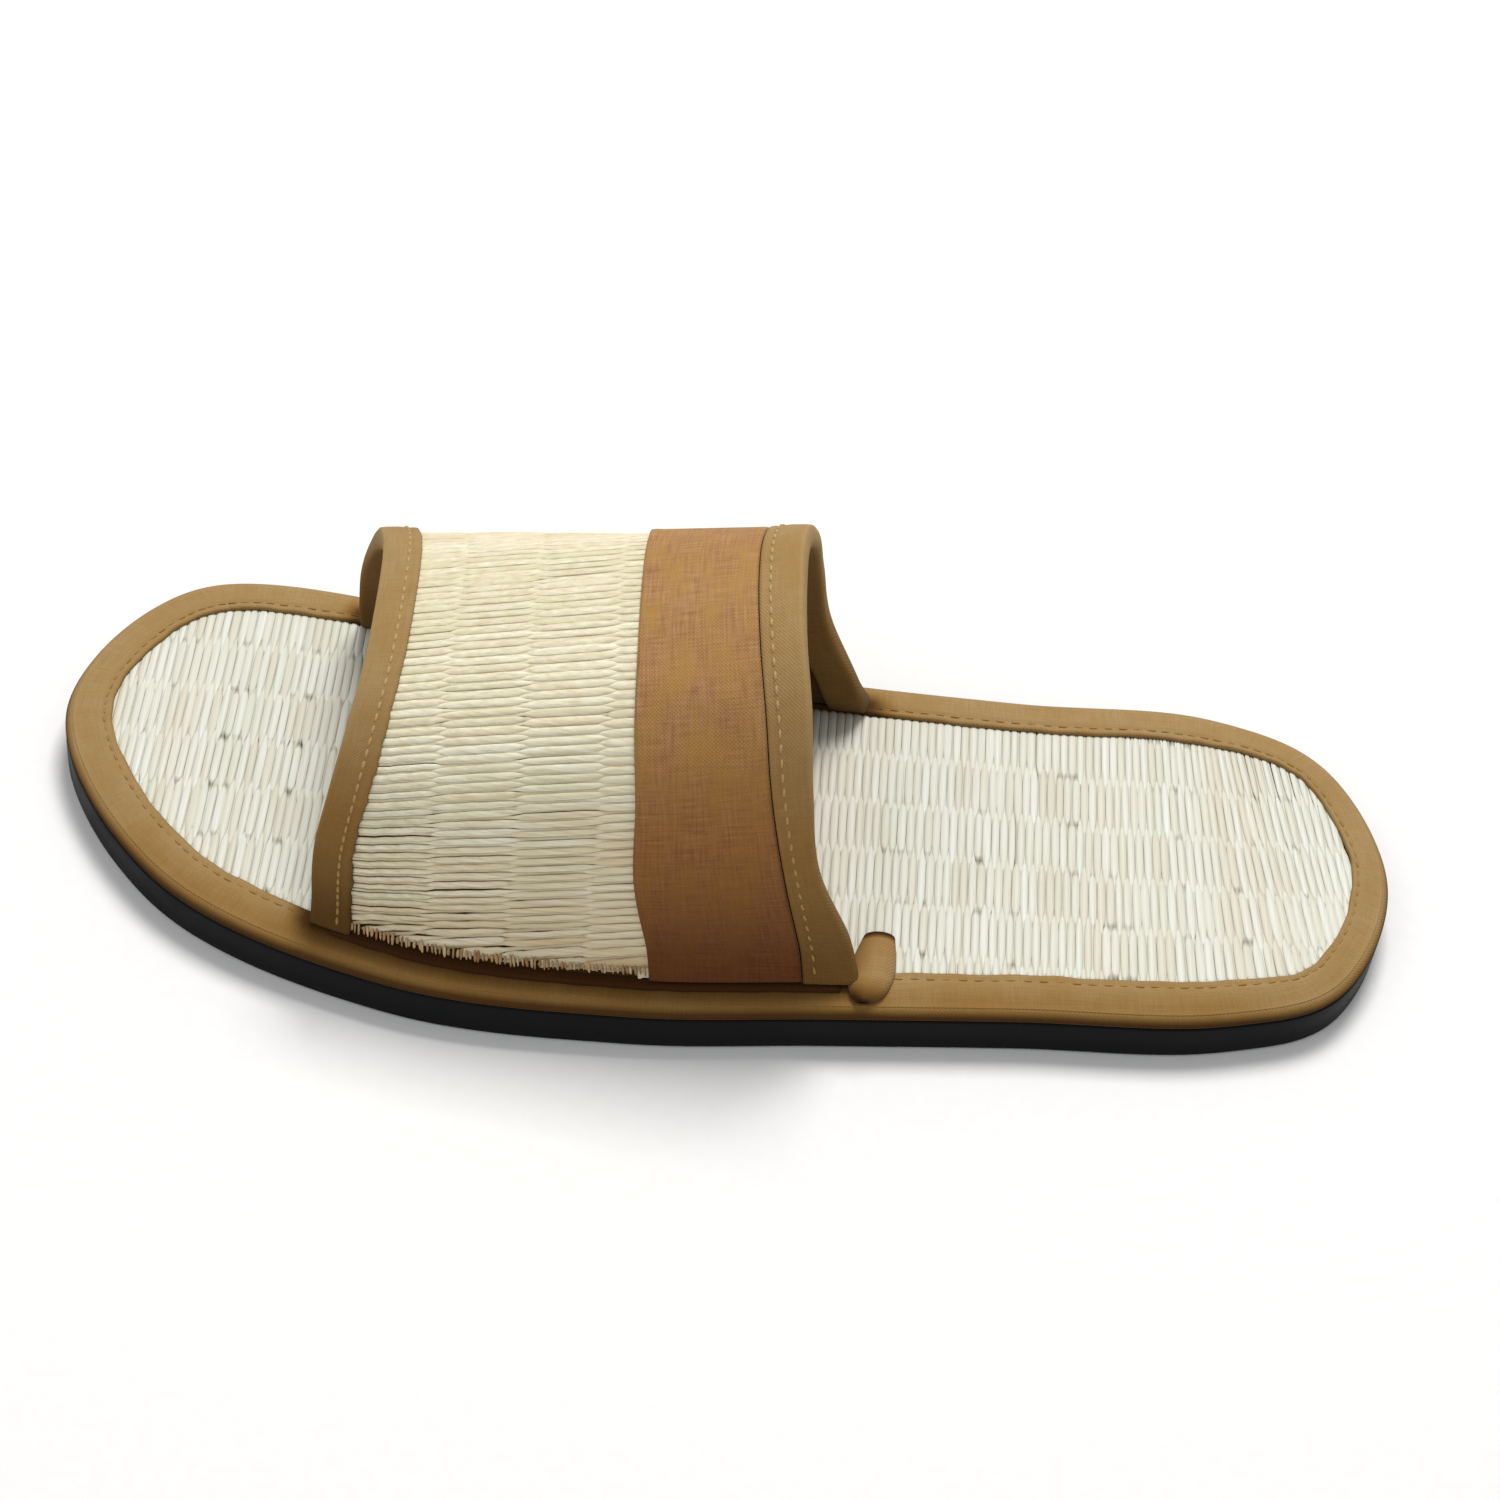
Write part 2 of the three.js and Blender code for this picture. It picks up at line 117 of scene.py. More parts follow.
# The strap's arch. Its lines are shares of its depth, in rows from the foot to the crown. The fold
# and the back lie a little further forward at the foot than the solids have them.
strap = {
    "front": -79.5,
    "depth": 110.5,
    "frontHeight": 49.7,
    "backHeight": 70.8,
    "crownShift": -3.3,
    "wall": 2.4,
    "square": 2.45,
    "bulge": 0.8,
    "flareFront": 4.0,  # how far the foot spreads out on the edge tape
    "flareBack": 4.8,
    "flareLift": 0.14,  # share of the arch's height where the spreading starts
    "flareEase": 1.6,
    "footRise": 0.1,
}
strapRows = {
    "front": (0, 0.002, 0.023, 0.044, 0.06, 0.065),
    "band": (0.602, 0.557, 0.545, 0.53, 0.523, 0.519),
    "fold": (0.875, 0.818, 0.777, 0.752, 0.73, 0.72),
    "back": (0.97, 0.872, 0.838, 0.819, 0.797, 0.789),
}


def throughRows(values, up):
    v = np.array([2 * values[0] - values[1], *values, values[-2]])
    place = np.clip(np.asarray(up, float), 0, 1) * (len(values) - 1)
    k = np.minimum(place.astype(int), len(values) - 2)
    t = place - k
    a, b, c, d = v[k], v[k + 1], v[k + 2], v[k + 3]
    return b + 0.5 * t * (c - a + t * (2 * a - 5 * b + 4 * c - d + t * (3 * (b - c) + d - a)))


def strapLine(name, turn):  # turn runs from 0 at the outer foot to 1 at the inner foot
    up = 1 - abs(1 - 2 * np.asarray(turn))
    return strap["front"] + strap["depth"] * throughRows(strapRows[name], up)


def strapSurface(turn, depth):  # depth runs from 0 at the front edge to 1 at the back edge
    turn, depth = np.broadcast_arrays(np.asarray(turn, float), np.asarray(depth, float))
    front, back = strapLine("front", turn), strapLine("back", turn)
    y = front + (back - front) * depth
    angle = math.pi * turn
    power = 2 / strap["square"]
    across = np.sign(np.cos(angle)) * abs(np.cos(angle)) ** power
    lift = np.clip(np.sin(angle), 0, 1) ** power
    right, left = sideReach(y, tape["flange"] + tape["fit"])
    reach = np.where(turn < 0.5, right, left) - strap["crownShift"]
    foot = np.clip(1 - lift / strap["flareLift"], 0, 1) ** strap["flareEase"]
    flare = (strap["flareFront"] + (strap["flareBack"] - strap["flareFront"]) * depth) * foot
    out = (strap["bulge"] * np.sin(math.pi * lift) + flare) * np.where(turn < 0.5, 1, -1)
    height = strap["frontHeight"] + (strap["backHeight"] - strap["frontHeight"]) * depth
    up = matTop + height * lift + strap["footRise"] * foot
    return np.stack([strap["crownShift"] + abs(reach) * across + out, y, up], -1)


# Reach of the samples that give the strap's normal
turnReach = 0.006
depthReach = 0.03


def strapAt(turn, depth, height):  # a place at a height above the strap's outer face
    turn, depth = np.broadcast_arrays(np.asarray(turn, float), np.asarray(depth, float))
    before = strapSurface(np.clip(turn - turnReach, 0, 1), depth)
    after = strapSurface(np.clip(turn + turnReach, 0, 1), depth)
    along = strapSurface(turn, depth + depthReach) - strapSurface(turn, depth - depthReach)
    way = np.cross(along, after - before)
    way /= np.linalg.norm(way, axis=-1, keepdims=True)
    return strapSurface(turn, depth) + way * np.asarray(height)[..., None]


def strapShare(name, turn):  # one of the strap's lines as a depth
    front, back = strapLine("front", turn), strapLine("back", turn)
    return (strapLine(name, turn) - front) / (back - front)


def strapSpan(turn):  # millimetres from the front edge to the back edge
    return np.linalg.norm(strapSurface(turn, 1.0) - strapSurface(turn, 0.0), axis=-1)


# Distances round the arch from its crown, for turns down a column and depths along a row
arcTurns = np.linspace(0.002, 0.998, 499)
arcDepths = np.linspace(0, 1, 61)
arcSteps = np.linalg.norm(np.diff(strapSurface(arcTurns[:, None], arcDepths[None, :]), axis=0), axis=-1)
arcPlaces = np.vstack([np.zeros((1, len(arcDepths))), np.cumsum(arcSteps, axis=0)])
arcPlaces -= arcPlaces[len(arcTurns) // 2]
midDepth = len(arcDepths) // 2
midArcs = arcPlaces[:, midDepth]


def turnAtArc(arc, depth):
    column = np.clip(np.round(np.asarray(depth) * (len(arcDepths) - 1)).astype(int), 0, len(arcDepths) - 1)
    return np.array([np.interp(s, arcPlaces[:, c], arcTurns) for s, c in zip(np.atleast_1d(arc), column)])


# Shader helpers: each adds one node and gives its output
def linear(red, green, blue):
    return tuple((c / 255) ** 2.2 for c in (red, green, blue)) + (1,)


def feed(tree, node, values):
    for socket, value in values:
        if isinstance(value, bpy.types.NodeSocket):
            tree.links.new(value, node.inputs[socket])
        else:
            node.inputs[socket].default_value = value
    return node


def addMath(tree, kind, first, second=0.0):
    node = tree.nodes.new("ShaderNodeMath")
    node.operation = kind
    return feed(tree, node, [(0, first), (1, second)]).outputs[0]


def addMix(tree, share, first, second, blend="MIX"):
    node = tree.nodes.new("ShaderNodeMix")
    node.data_type = "RGBA"
    node.blend_type = blend
    return feed(tree, node, [(0, share), (6, first), (7, second)]).outputs[2]


def addNoise(tree, vector, scale, detail=3.0, rough=0.55):
    node = tree.nodes.new("ShaderNodeTexNoise")
    values = [("Vector", vector), ("Scale", scale), ("Detail", detail), ("Roughness", rough)]
    return feed(tree, node, values).outputs["Fac"]


def addScale(tree, vector, scale):
    node = tree.nodes.new("ShaderNodeVectorMath")
    node.operation = "MULTIPLY"
    return feed(tree, node, [(0, vector), (1, scale)]).outputs[0]


def addRange(tree, value, low, high, outLow=0.0, outHigh=1.0):
    node = tree.nodes.new("ShaderNodeMapRange")
    return feed(tree, node, [(0, value), (1, low), (2, high), (3, outLow), (4, outHigh)]).outputs[0]


def addRamp(tree, value, stops):
    node = tree.nodes.new("ShaderNodeValToRGB")
    elements = node.color_ramp.elements
    while len(elements) < len(stops):
        elements.new(0.5)
    for element, (place, colour) in zip(elements, stops):
        element.position = place
        element.color = colour
    return feed(tree, node, [(0, value)]).outputs[0]


def addMark(tree, name):  # a value that the mesh carries on its vertices
    node = tree.nodes.new("ShaderNodeAttribute")
    node.attribute_name = name
    return node.outputs["Fac"]


def addGroup(tree, group, values):
    node = tree.nodes.new("ShaderNodeGroup")
    node.node_tree = group
    return feed(tree, node, values).outputs


def startGroup(name, inputs, outputs):
    group = bpy.data.node_groups.new(name, "ShaderNodeTree")
    for label, kind in inputs:
        group.interface.new_socket(label, in_out="INPUT", socket_type="NodeSocket" + kind)
    for label in outputs:
        group.interface.new_socket(label, in_out="OUTPUT", socket_type="NodeSocketFloat")
    return group, group.nodes.new("NodeGroupInput").outputs, group.nodes.new("NodeGroupOutput")


clothGrain = {
    "slow": 140,  # changes of tone in a metre along a yarn
    "quick": 2400,  # and across it
    "toneLow": 0.34,
    "toneHigh": 0.66,
}
strawGrain = {
    "detail": 4,
    "rough": 0.62,
    "warmLow": 0.5,
    "warmHigh": 0.72,
    "greenScale": 1.7,
    "greenLow": 0.54,
    "greenHigh": 0.7,
}


def makeClothGroup():  # yarns of a plain or twill cloth, from a UV map in metres
    inputs = [("Vector", "Vector"), ("Thread", "Float"), ("Twill", "Float"), ("Slub", "Float")]
    group, given, result = startGroup("clothThreads", inputs, ("Height", "Tone"))
    split = feed(group, group.nodes.new("ShaderNodeSeparateXYZ"), [(0, given["Vector"])]).outputs
    u = addMath(group, "MULTIPLY", addMath(group, "DIVIDE", split[0], given["Thread"]), math.pi)
    v = addMath(group, "MULTIPLY", addMath(group, "DIVIDE", split[1], given["Thread"]), math.pi)
    plain = addMath(group, "MULTIPLY", addMath(group, "SINE", u), addMath(group, "SINE", v))
    diagonal = addMath(group, "SINE", addMath(group, "ADD", u, v))
    plainShare = addMath(group, "MULTIPLY", plain, addMath(group, "SUBTRACT", 1.0, given["Twill"]))
    yarns = addMath(group, "ADD", plainShare, addMath(group, "MULTIPLY", diagonal, given["Twill"]))
    slow, quick = clothGrain["slow"], clothGrain["quick"]
    along = addNoise(group, addScale(group, given["Vector"], (slow, quick, 1)), 1.0, 2)
    across = addNoise(group, addScale(group, given["Vector"], (quick, slow, 1)), 1.0, 2)
    tone = addMath(group, "MULTIPLY", addMath(group, "ADD", along, across), 0.5)
    slubs = addMath(group, "MULTIPLY", tone, given["Slub"])
    height = addMath(group, "ADD", addRange(group, yarns, -1, 1), slubs)
    tone = addRange(group, tone, clothGrain["toneLow"], clothGrain["toneHigh"])
    feed(group, result, [("Height", height), ("Tone", tone)])
    return group


def makeStrawGroup():  # fibres along a straw, and slow blushes of colour across a mat
    inputs = [("Vector", "Vector"), ("Fibres", "Vector"), ("Blush", "Vector")]
    group, given, result = startGroup("strawFibres", inputs, ("Fibre", "Warm", "Green"))
    grain = strawGrain
    drawn = addScale(group, given["Vector"], given["Fibres"])
    fibre = addNoise(group, drawn, 1.0, grain["detail"], grain["rough"])
    stretched = addScale(group, given["Vector"], given["Blush"])
    warm = addRange(group, addNoise(group, stretched, 1.0, 3), grain["warmLow"], grain["warmHigh"])
    green = addNoise(group, stretched, grain["greenScale"], 2)
    green = addRange(group, green, grain["greenLow"], grain["greenHigh"])
    feed(group, result, [("Fibre", fibre), ("Warm", warm), ("Green", green)])
    return group


clothGroup = makeClothGroup()
strawGroup = makeStrawGroup()


def startMaterial(name, roughness, specular):
    material = bpy.data.materials.new(name)
    material.use_nodes = True
    tree = material.node_tree
    shader = tree.nodes["Principled BSDF"]
    feed(tree, shader, [("Roughness", roughness), ("Specular IOR Level", specular)])
    return material, tree, shader, tree.nodes.new("ShaderNodeTexCoord").outputs


def addBump(tree, shader, height, strength, distance):
    bump = tree.nodes.new("ShaderNodeBump")
    feed(tree, bump, [("Strength", strength), ("Distance", distance), ("Height", height)])
    tree.links.new(bump.outputs[0], shader.inputs["Normal"])


def makeStrawMaterial(name, look):
    material, tree, shader, coords = startMaterial(name, look["roughness"], look["specular"])
    values = [("Vector", coords["Object"]), ("Fibres", look["fibres"]), ("Blush", look["blush"])]
    straw = addGroup(tree, strawGroup, values)
    base = addRamp(tree, addMark(tree, "strawTone"), look["tones"])
    base = addMix(tree, addMath(tree, "MULTIPLY", straw["Warm"], look["warm"]), base, look["warmColour"])
    base = addMix(tree, addMath(tree, "MULTIPLY", straw["Green"], look["green"]), base, look["greenColour"])
    streaks = addRange(tree, straw["Fibre"], look["streakLow"], look["streakHigh"], look["streak"], 0)
    base = addMix(tree, streaks, base, look["streakColour"])
    # Low places of the straws, under and between their neighbours and at warp crossings, go toward the hollow
    # colour: painted shade.
    lift = addMark(tree, "strawLift")
    hollowShade = addRange(tree, lift, look["hollowLow"], look["hollowHigh"], look["hollowShade"], 0)
    base = addMix(tree, hollowShade, base, look["hollowShadeColour"])
    # Darkened toward the soil colour by the soil mark: painted shade low on the strap, partly soiling.
    base = addMix(tree, addMark(tree, "soilAndShade"), base, look["soilAndShadeColour"], "MULTIPLY")
    feed(tree, shader, [("Base Color", base)])
    addBump(tree, shader, straw["Fibre"], look["bump"], look["bumpDepth"])
    return material


clothFinish = {
    "specular": 0.15,
    "sheenRoughness": 0.5,
    "stainLow": 0.38,
    "stainHigh": 0.66,
    "deepBelow": 0.6,
    "bumpDepth": 0.00016,
}


def makeClothMaterial(name, look):
    look = {**clothFinish, **look}
    material, tree, shader, coords = startMaterial(name, look["roughness"], look["specular"])
    feed(tree, shader, [("Sheen Weight", look["sheen"]), ("Sheen Roughness", look["sheenRoughness"])])
    values = [(label, look[label.lower()]) for label in ("Thread", "Twill", "Slub")]
    cloth = addGroup(tree, clothGroup, [("Vector", coords["UV"]), *values])
    base = addMix(tree, cloth["Tone"], look["dark"], look["light"])
    stain = addNoise(tree, addScale(tree, coords["Object"], look["stainStretch"]), 1.0, 4, 0.6)
    stain = addRange(tree, stain, look["stainLow"], look["stainHigh"], 0, look["stain"])
    base = addMix(tree, stain, base, look["stainColour"])
    # Low places of the weave go toward the dark yarn colour: painted shade.
    deep = addRange(tree, cloth["Height"], 0, look["deepBelow"], look["groove"], 0)
    base = addMix(tree, deep, base, look["dark"])
    base = addMix(tree, addMark(tree, "edgeWear"), base, look["wearColour"])
    # Multiplied by a ramp of the soil mark: painted shade and painted shadow, partly soiling.
    base = addMix(tree, 1.0, base, addRamp(tree, addMark(tree, "soilAndShade"), look["soilAndShadeTones"]), "MULTIPLY")
    feed(tree, shader, [("Base Color", base)])
    addBump(tree, shader, cloth["Height"], look["bump"], look["bumpDepth"])
    return material


def makeFoamMaterial(name, look):
    material, tree, shader, coords = startMaterial(name, look["roughness"], look["specular"])
    cells = addNoise(tree, coords["Object"], look["cells"], 2)
    clouds = addNoise(tree, coords["Object"], look["clouds"], 4)
    clouds = addRange(tree, clouds, look["cloudsLow"], look["cloudsHigh"])
    feed(tree, shader, [
        ("Base Color", addMix(tree, clouds, look["dark"], look["light"])),
        ("Roughness", addRange(tree, clouds, 0, 1, look["smoothest"], look["roughest"])),
    ])
    addBump(tree, shader, cells, look["bump"], look["bumpDepth"])
    return material


strawLook = {
    "roughness": 0.48,
    "specular": 0.4,
    "fibres": (50, 1800, 1800),
    "blush": (14, 60, 60),
    "tones": [
        (0.0, linear(206, 184, 142)),
        (0.12, linear(221, 207, 170)),
        (0.42, linear(231, 224, 194)),
        (0.62, linear(236, 233, 210)),
        (0.82, linear(222, 217, 190)),
        (1.0, linear(214, 212, 180)),
    ],
    "warm": 0.55,
    "warmColour": linear(224, 199, 164),
    "green": 0.3,
    "greenColour": linear(206, 210, 168),
    "streak": 0.6,
    "streakLow": 0.32,
    "streakHigh": 0.68,
    "streakColour": linear(186, 166, 122),
    # painted shade in the gaps between straws
    "hollowLow": 0.42,
    "hollowHigh": 0.72,
    "hollowShade": 0.7,
    "hollowShadeColour": linear(122, 100, 60),
    # straws darken toward this low on the strap: painted shade, partly soiling
    "soilAndShadeColour": linear(214, 168, 118),
    "bump": 0.5,
    "bumpDepth": 0.00012,
}
strapStraw = makeStrawMaterial("strapStraw", {**strawLook, "fibres": (1800, 50, 1800), "blush": (60, 14, 60)})
footbedStraw = makeStrawMaterial("footbedStraw", {
    **strawLook,
    "tones": [
        (0.0, linear(202, 190, 166)),
        (0.12, linear(204, 201, 185)),
        (0.45, linear(211, 212, 201)),
        (0.8, linear(220, 224, 218)),
        (1.0, linear(205, 210, 190)),
    ],
    "warm": 0.28,
    "warmColour": linear(214, 198, 178),
    "green": 0.22,
    "greenColour": linear(200, 209, 186),
    "streak": 0.5,
    "streakColour": linear(186, 180, 154),
    # painted shade in the gaps between straws
    "hollowShade": 0.85,
    "hollowLow": 0.28,
    "hollowHigh": 0.7,
    "hollowShadeColour": linear(98, 92, 76),
})
# Ramps for the soil mark on cloth: the deep tones are painted shade and painted shadow, the light ones partly
# soiling.
clothSoilAndShade = [
    (0.0, (1, 1, 1, 1)),
    (0.35, (0.78, 0.67, 0.46, 1)),
    (0.7, (0.42, 0.33, 0.17, 1)),
    (1.0, (0.13, 0.064, 0.006, 1)),
]
bandSoilAndShade = [
    (0.0, (1, 1, 1, 1)),
    (0.35, (0.8, 0.67, 0.5, 1)),
    (0.7, (0.42, 0.28, 0.17, 1)),
    (1.0, (0.16, 0.06, 0.02, 1)),
]
tapeCloth = makeClothMaterial("tapeCloth", {
    "roughness": 0.84, "sheen": 0.02, "thread": 0.0004, "twill": 0.75, "slub": 0.5,
    "dark": linear(147, 119, 78), "light": linear(161, 134, 93),
    "stainStretch": (70, 70, 70), "stain": 0.55, "stainColour": linear(146, 112, 62),
    "groove": 0.35, "wearColour": linear(190, 164, 118), "soilAndShadeTones": clothSoilAndShade, "bump": 0.45,
})
bandCloth = makeClothMaterial("bandCloth", {
    "roughness": 0.86, "sheen": 0.05, "thread": 0.00036, "twill": 0.0, "slub": 0.9,
    "dark": linear(138, 98, 63), "light": linear(174, 133, 93),
    "stainStretch": (110, 190, 60), "stain": 0.7, "stainColour": linear(164, 126, 68),
    "groove": 0.3, "wearColour": linear(190, 154, 112), "soilAndShadeTones": bandSoilAndShade, "bump": 0.5,
})
# The lining's colours are darkened for the shade inside the strap: painted shade.
liningCloth = makeClothMaterial("liningCloth", {
    "roughness": 0.9, "sheen": 0.06, "thread": 0.0005, "twill": 0.0, "slub": 0.8,
    "dark": linear(92, 70, 34), "light": linear(126, 100, 56),
    "stainStretch": (60, 60, 60), "stain": 0.35, "stainColour": linear(130, 104, 60),
    "groove": 0.4, "wearColour": linear(170, 146, 104), "soilAndShadeTones": clothSoilAndShade, "bump": 0.5,
})
threadCloth = makeClothMaterial("sewingThread", {
    "roughness": 0.7, "sheen": 0.1, "thread": 0.0002, "twill": 1.0, "slub": 0.3,
    "dark": linear(160, 131, 83), "light": linear(196, 168, 117),
    "stainStretch": (200, 200, 200), "stain": 0.1, "stainColour": linear(180, 150, 100),
    "groove": 0.3, "wearColour": linear(206, 182, 136), "soilAndShadeTones": clothSoilAndShade, "bump": 0.3,
})
soleFoam = makeFoamMaterial("soleFoam", {
    "roughness": 0.5, "smoothest": 0.42, "roughest": 0.62, "specular": 0.12,
    "dark": linear(9, 9, 10), "light": linear(18, 19, 20),
    "cells": 2400, "clouds": 45, "cloudsLow": 0.35, "cloudsHigh": 0.65,
    "bump": 0.35, "bumpDepth": 0.0001,
})
print("materials made")


# Mesh helpers
# The soil mark that meshes carry holds painted shade and painted shadow as well as soiling; the materials
# darken by it.
clothMarks = ("edgeWear", "soilAndShade")
strawMarks = ("strawTone", "strawLift", "soilAndShade")
weldDistance = 1e-6
seamDistance = 1.5e-6
footSheet = (100, 275)  # size of a UV map laid over the whole foot


def startPiece(marks=()):
    bm = bmesh.new()
    bm.loops.layers.uv.new("UVMap")
    for name in marks:
        bm.verts.layers.float.new(name)
    return bm


# A grid whose u and v, from 0 to 1, go through a shape function that gives millimetres
def addGrid(bm, stepsU, stepsV, shape, sizeU, sizeV, marks=None):
    made = bmesh.ops.create_grid(bm, x_segments=stepsU, y_segments=stepsV, size=1)["verts"]
    u = np.array([(v.co.x + 1) / 2 for v in made])
    v = np.array([(v.co.y + 1) / 2 for v in made])
    places = shape(u, v) * mm
    uvLayer = bm.loops.layers.uv["UVMap"]
    spots = {vert: (a * sizeU * mm, b * sizeV * mm) for vert, a, b in zip(made, u, v)}
    for face in {f for vert in made for f in vert.link_faces}:
        for loop in face.loops:
            loop[uvLayer].uv = spots[loop.vert]
    for vert, place in zip(made, places):
        vert.co = place
    for name, values in (marks(u, v) if marks else {}).items():
        layer = bm.verts.layers.float[name]
        for vert, value in zip(made, values):
            vert[layer] = float(value)


def closeSeams(bm):
    bmesh.ops.remove_doubles(bm, verts=bm.verts[:], dist=seamDistance)
    gaps = [e for e in bm.edges if e.is_boundary]
    if gaps:
        bmesh.ops.holes_fill(bm, edges=gaps, sides=0)
    bmesh.ops.recalc_face_normals(bm, faces=bm.faces[:])


def finishPiece(name, bm, material, slot, *replaced):
    mesh = bpy.data.meshes.new(name)
    bm.to_mesh(mesh)
    bm.free()
    mesh.materials.append(material)
    mesh.polygons.foreach_set("use_smooth", [True] * len(mesh.polygons))
    piece = bpy.data.objects.new(name, mesh)
    bpy.context.scene.collection.objects.link(piece)
    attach(piece, "root")
    if replaced:
        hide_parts(*replaced)
    print(name + ":", sum(len(p.vertices) - 2 for p in mesh.polygons), "triangles")
    return piece


def alongProfile(points, v):  # out and up at a share of the way round a closed profile
    ring = np.array([*points, points[0]], float)
    lengths = np.concatenate([[0], np.cumsum(np.linalg.norm(np.diff(ring, axis=0), axis=1))])
    place = v * lengths[-1]
    return np.interp(place, lengths, ring[:, 0]), np.interp(place, lengths, ring[:, 1])


def bend(out, up, radius, start, stop, count=4):  # a rounded corner of a profile
    angles = np.radians(np.linspace(start, stop, count + 1))
    return [(out + radius * math.cos(a), up + radius * math.sin(a)) for a in angles]


# Stitches: short rounded threads, laid along a line with the surface's own way up
stitch = {
    "length": 1.9,
    "width": 0.46,
    "height": 0.32,
}


def addStitch(bm, place, along, up, size=stitch, marks=None):
    along = Vector(along).normalized()
    side = Vector(up).cross(along).normalized()
    turned = Matrix((along, side, along.cross(side))).transposed().to_4x4()
    scale = Matrix.Diagonal((size["length"] / 2 * mm, size["width"] / 2 * mm, size["height"] * mm, 1))
    matrix = Matrix.Translation(Vector(place) * mm) @ turned @ scale
    made = bmesh.ops.create_icosphere(bm, subdivisions=2, radius=1, matrix=matrix, calc_uvs=True)["verts"]
    for name, value in (marks or {}).items():
        layer = bm.verts.layers.float[name]
        for vert in made:
            vert[layer] = value


# Outsole: a foam slab with wave grooves in its underside
outsole = {
    "edgeRound": 0.9,
    "waveLength": 29.0,
    "waveSwing": 5.6,
    "pitch": 16.3,
    "deep": 1.8,
    "deepHalf": 2.3,
    "midDeep": 0.9,
    "midHalf": 1.5,
    "fineDeep": 0.4,
    "fineHalf": 0.15,
    "finePlace": 3.4,
    "slope": 0.5,
    "rim": 4.0,
    "rimOver": 0.6,
    "endRows": 0.45,  # share of the rows' places that is set by the easing at toe and heel
    "ease": 0.1,
    "rows": 520,
    "columns": 150,
}


def grooveFrom(distance, half, depth):
    return np.clip((half + outsole["slope"] - distance) / (2 * outsole["slope"]), 0, 1) * depth


def treadDepth(x, y):
    wave = outsole["waveSwing"] * np.cos(2 * math.pi * x / outsole["waveLength"])
    place = (y - wave) / outsole["pitch"]
    main = abs(place - np.floor(place) - 0.5) * outsole["pitch"]
    middle = outsole["pitch"] / 2 - main
    grooves = [
        grooveFrom(main, outsole["deepHalf"], outsole["deep"]),
        grooveFrom(middle, outsole["midHalf"], outsole["midDeep"]),
        grooveFrom(abs(middle - outsole["finePlace"]), outsole["fineHalf"], outsole["fineDeep"]),
    ]
    return np.maximum.reduce(grooves)


def makeOutsole():
    bm = startPiece()
    inset = outsole["edgeRound"]
    low, high = footSpan(inset)

    def underside(u, v):
        eased = v - outsole["ease"] * np.sin(2 * math.pi * v)
        row = outsole["endRows"] * eased + (1 - outsole["endRows"]) * v
        y = (low + high) / 2 - (high - low) / 2 * np.cos(math.pi * row)
        right, left = sideReach(y, inset)
        x = left + (right - left) * u
        edge = np.minimum.reduce([x - left, right - x, y - low, high - y])
        within = np.clip((edge + inset - outsole["rim"]) / outsole["rimOver"], 0, 1)
        return np.stack([x, y, treadDepth(x, y) * within], -1)

    addGrid(bm, outsole["columns"], outsole["rows"], underside, *footSheet)
    bmesh.ops.remove_doubles(bm, verts=bm.verts[:], dist=weldDistance)
    rimX, rimY = rimAt(outlineShares, inset)
    ring = [e for e in bm.edges if e.is_boundary]
    shares = {}
    for vert in {v for e in ring for v in e.verts}:
        away = (rimX - vert.co.x / mm) ** 2 + (rimY - vert.co.y / mm) ** 2
        shares[vert] = int(np.argmin(away)) / outlineSteps
    side = [(inset - a, inset + b) for a, b in bend(0, 0, inset, -70, 0, 3)]
    side += [(0, soleTop * 0.35), (-0.05, soleTop * 0.6), (0, soleTop - 0.5)]
    side += [(0.15, soleTop - 0.12), (0.5, soleTop)]
    for out, up in side:
        made = bmesh.ops.extrude_edge_only(bm, edges=ring)["geom"]
        ring = [g for g in made if isinstance(g, bmesh.types.BMEdge) and g.is_boundary]
        raised = {}
        for vert in [g for g in made if isinstance(g, bmesh.types.BMVert)]:
            below = next(o for o in (e.other_vert(vert) for e in vert.link_edges) if o in shares)
            x, y = rimAt(shares[below], out)
            vert.co = (float(x) * mm, float(y) * mm, up * mm)
            raised[vert] = shares[below]
        shares = raised
    closeSeams(bm)
    return finishPiece("outsoleFoam", bm, soleFoam, "sole_foam", "outsole")


makeOutsole()


# Edge tape: folded round the footbed's edge, its top flange lying on the mat
edgeTape = {
    "round": 2.7,
    "slope": 0.8,  # how much lower the flange is at its outer side
    "ripple": 0.06,
    "rippleWaves": (1.8, 1.13),
    "wander": 0.18,
    "wanderWaves": (3.7, 1.5),
    "stitchInset": 7.9,
    "stitchPitch": 3.2,
    "stitchDip": 0.22,
    "stitchSunk": 0.16,
    "stitchSoilShade": 0.35,
    "wear": 0.1,
    "shade": 0.92,  # painted shadow of the strap on the tape beside it
    "shadeFrom": strap["front"] - 6,
    "shadeTo": strap["front"] + strap["depth"] + 4,
    # painted shade: low on the tape, along its inner edge and on its outer (+x) side
    "lowShade": 0.95,
    "innerShade": 0.2,
    "outerSideShade": 0.3,
    "mostShade": 0.92,
    "sections": 66,
    "unfolded": 30,
}


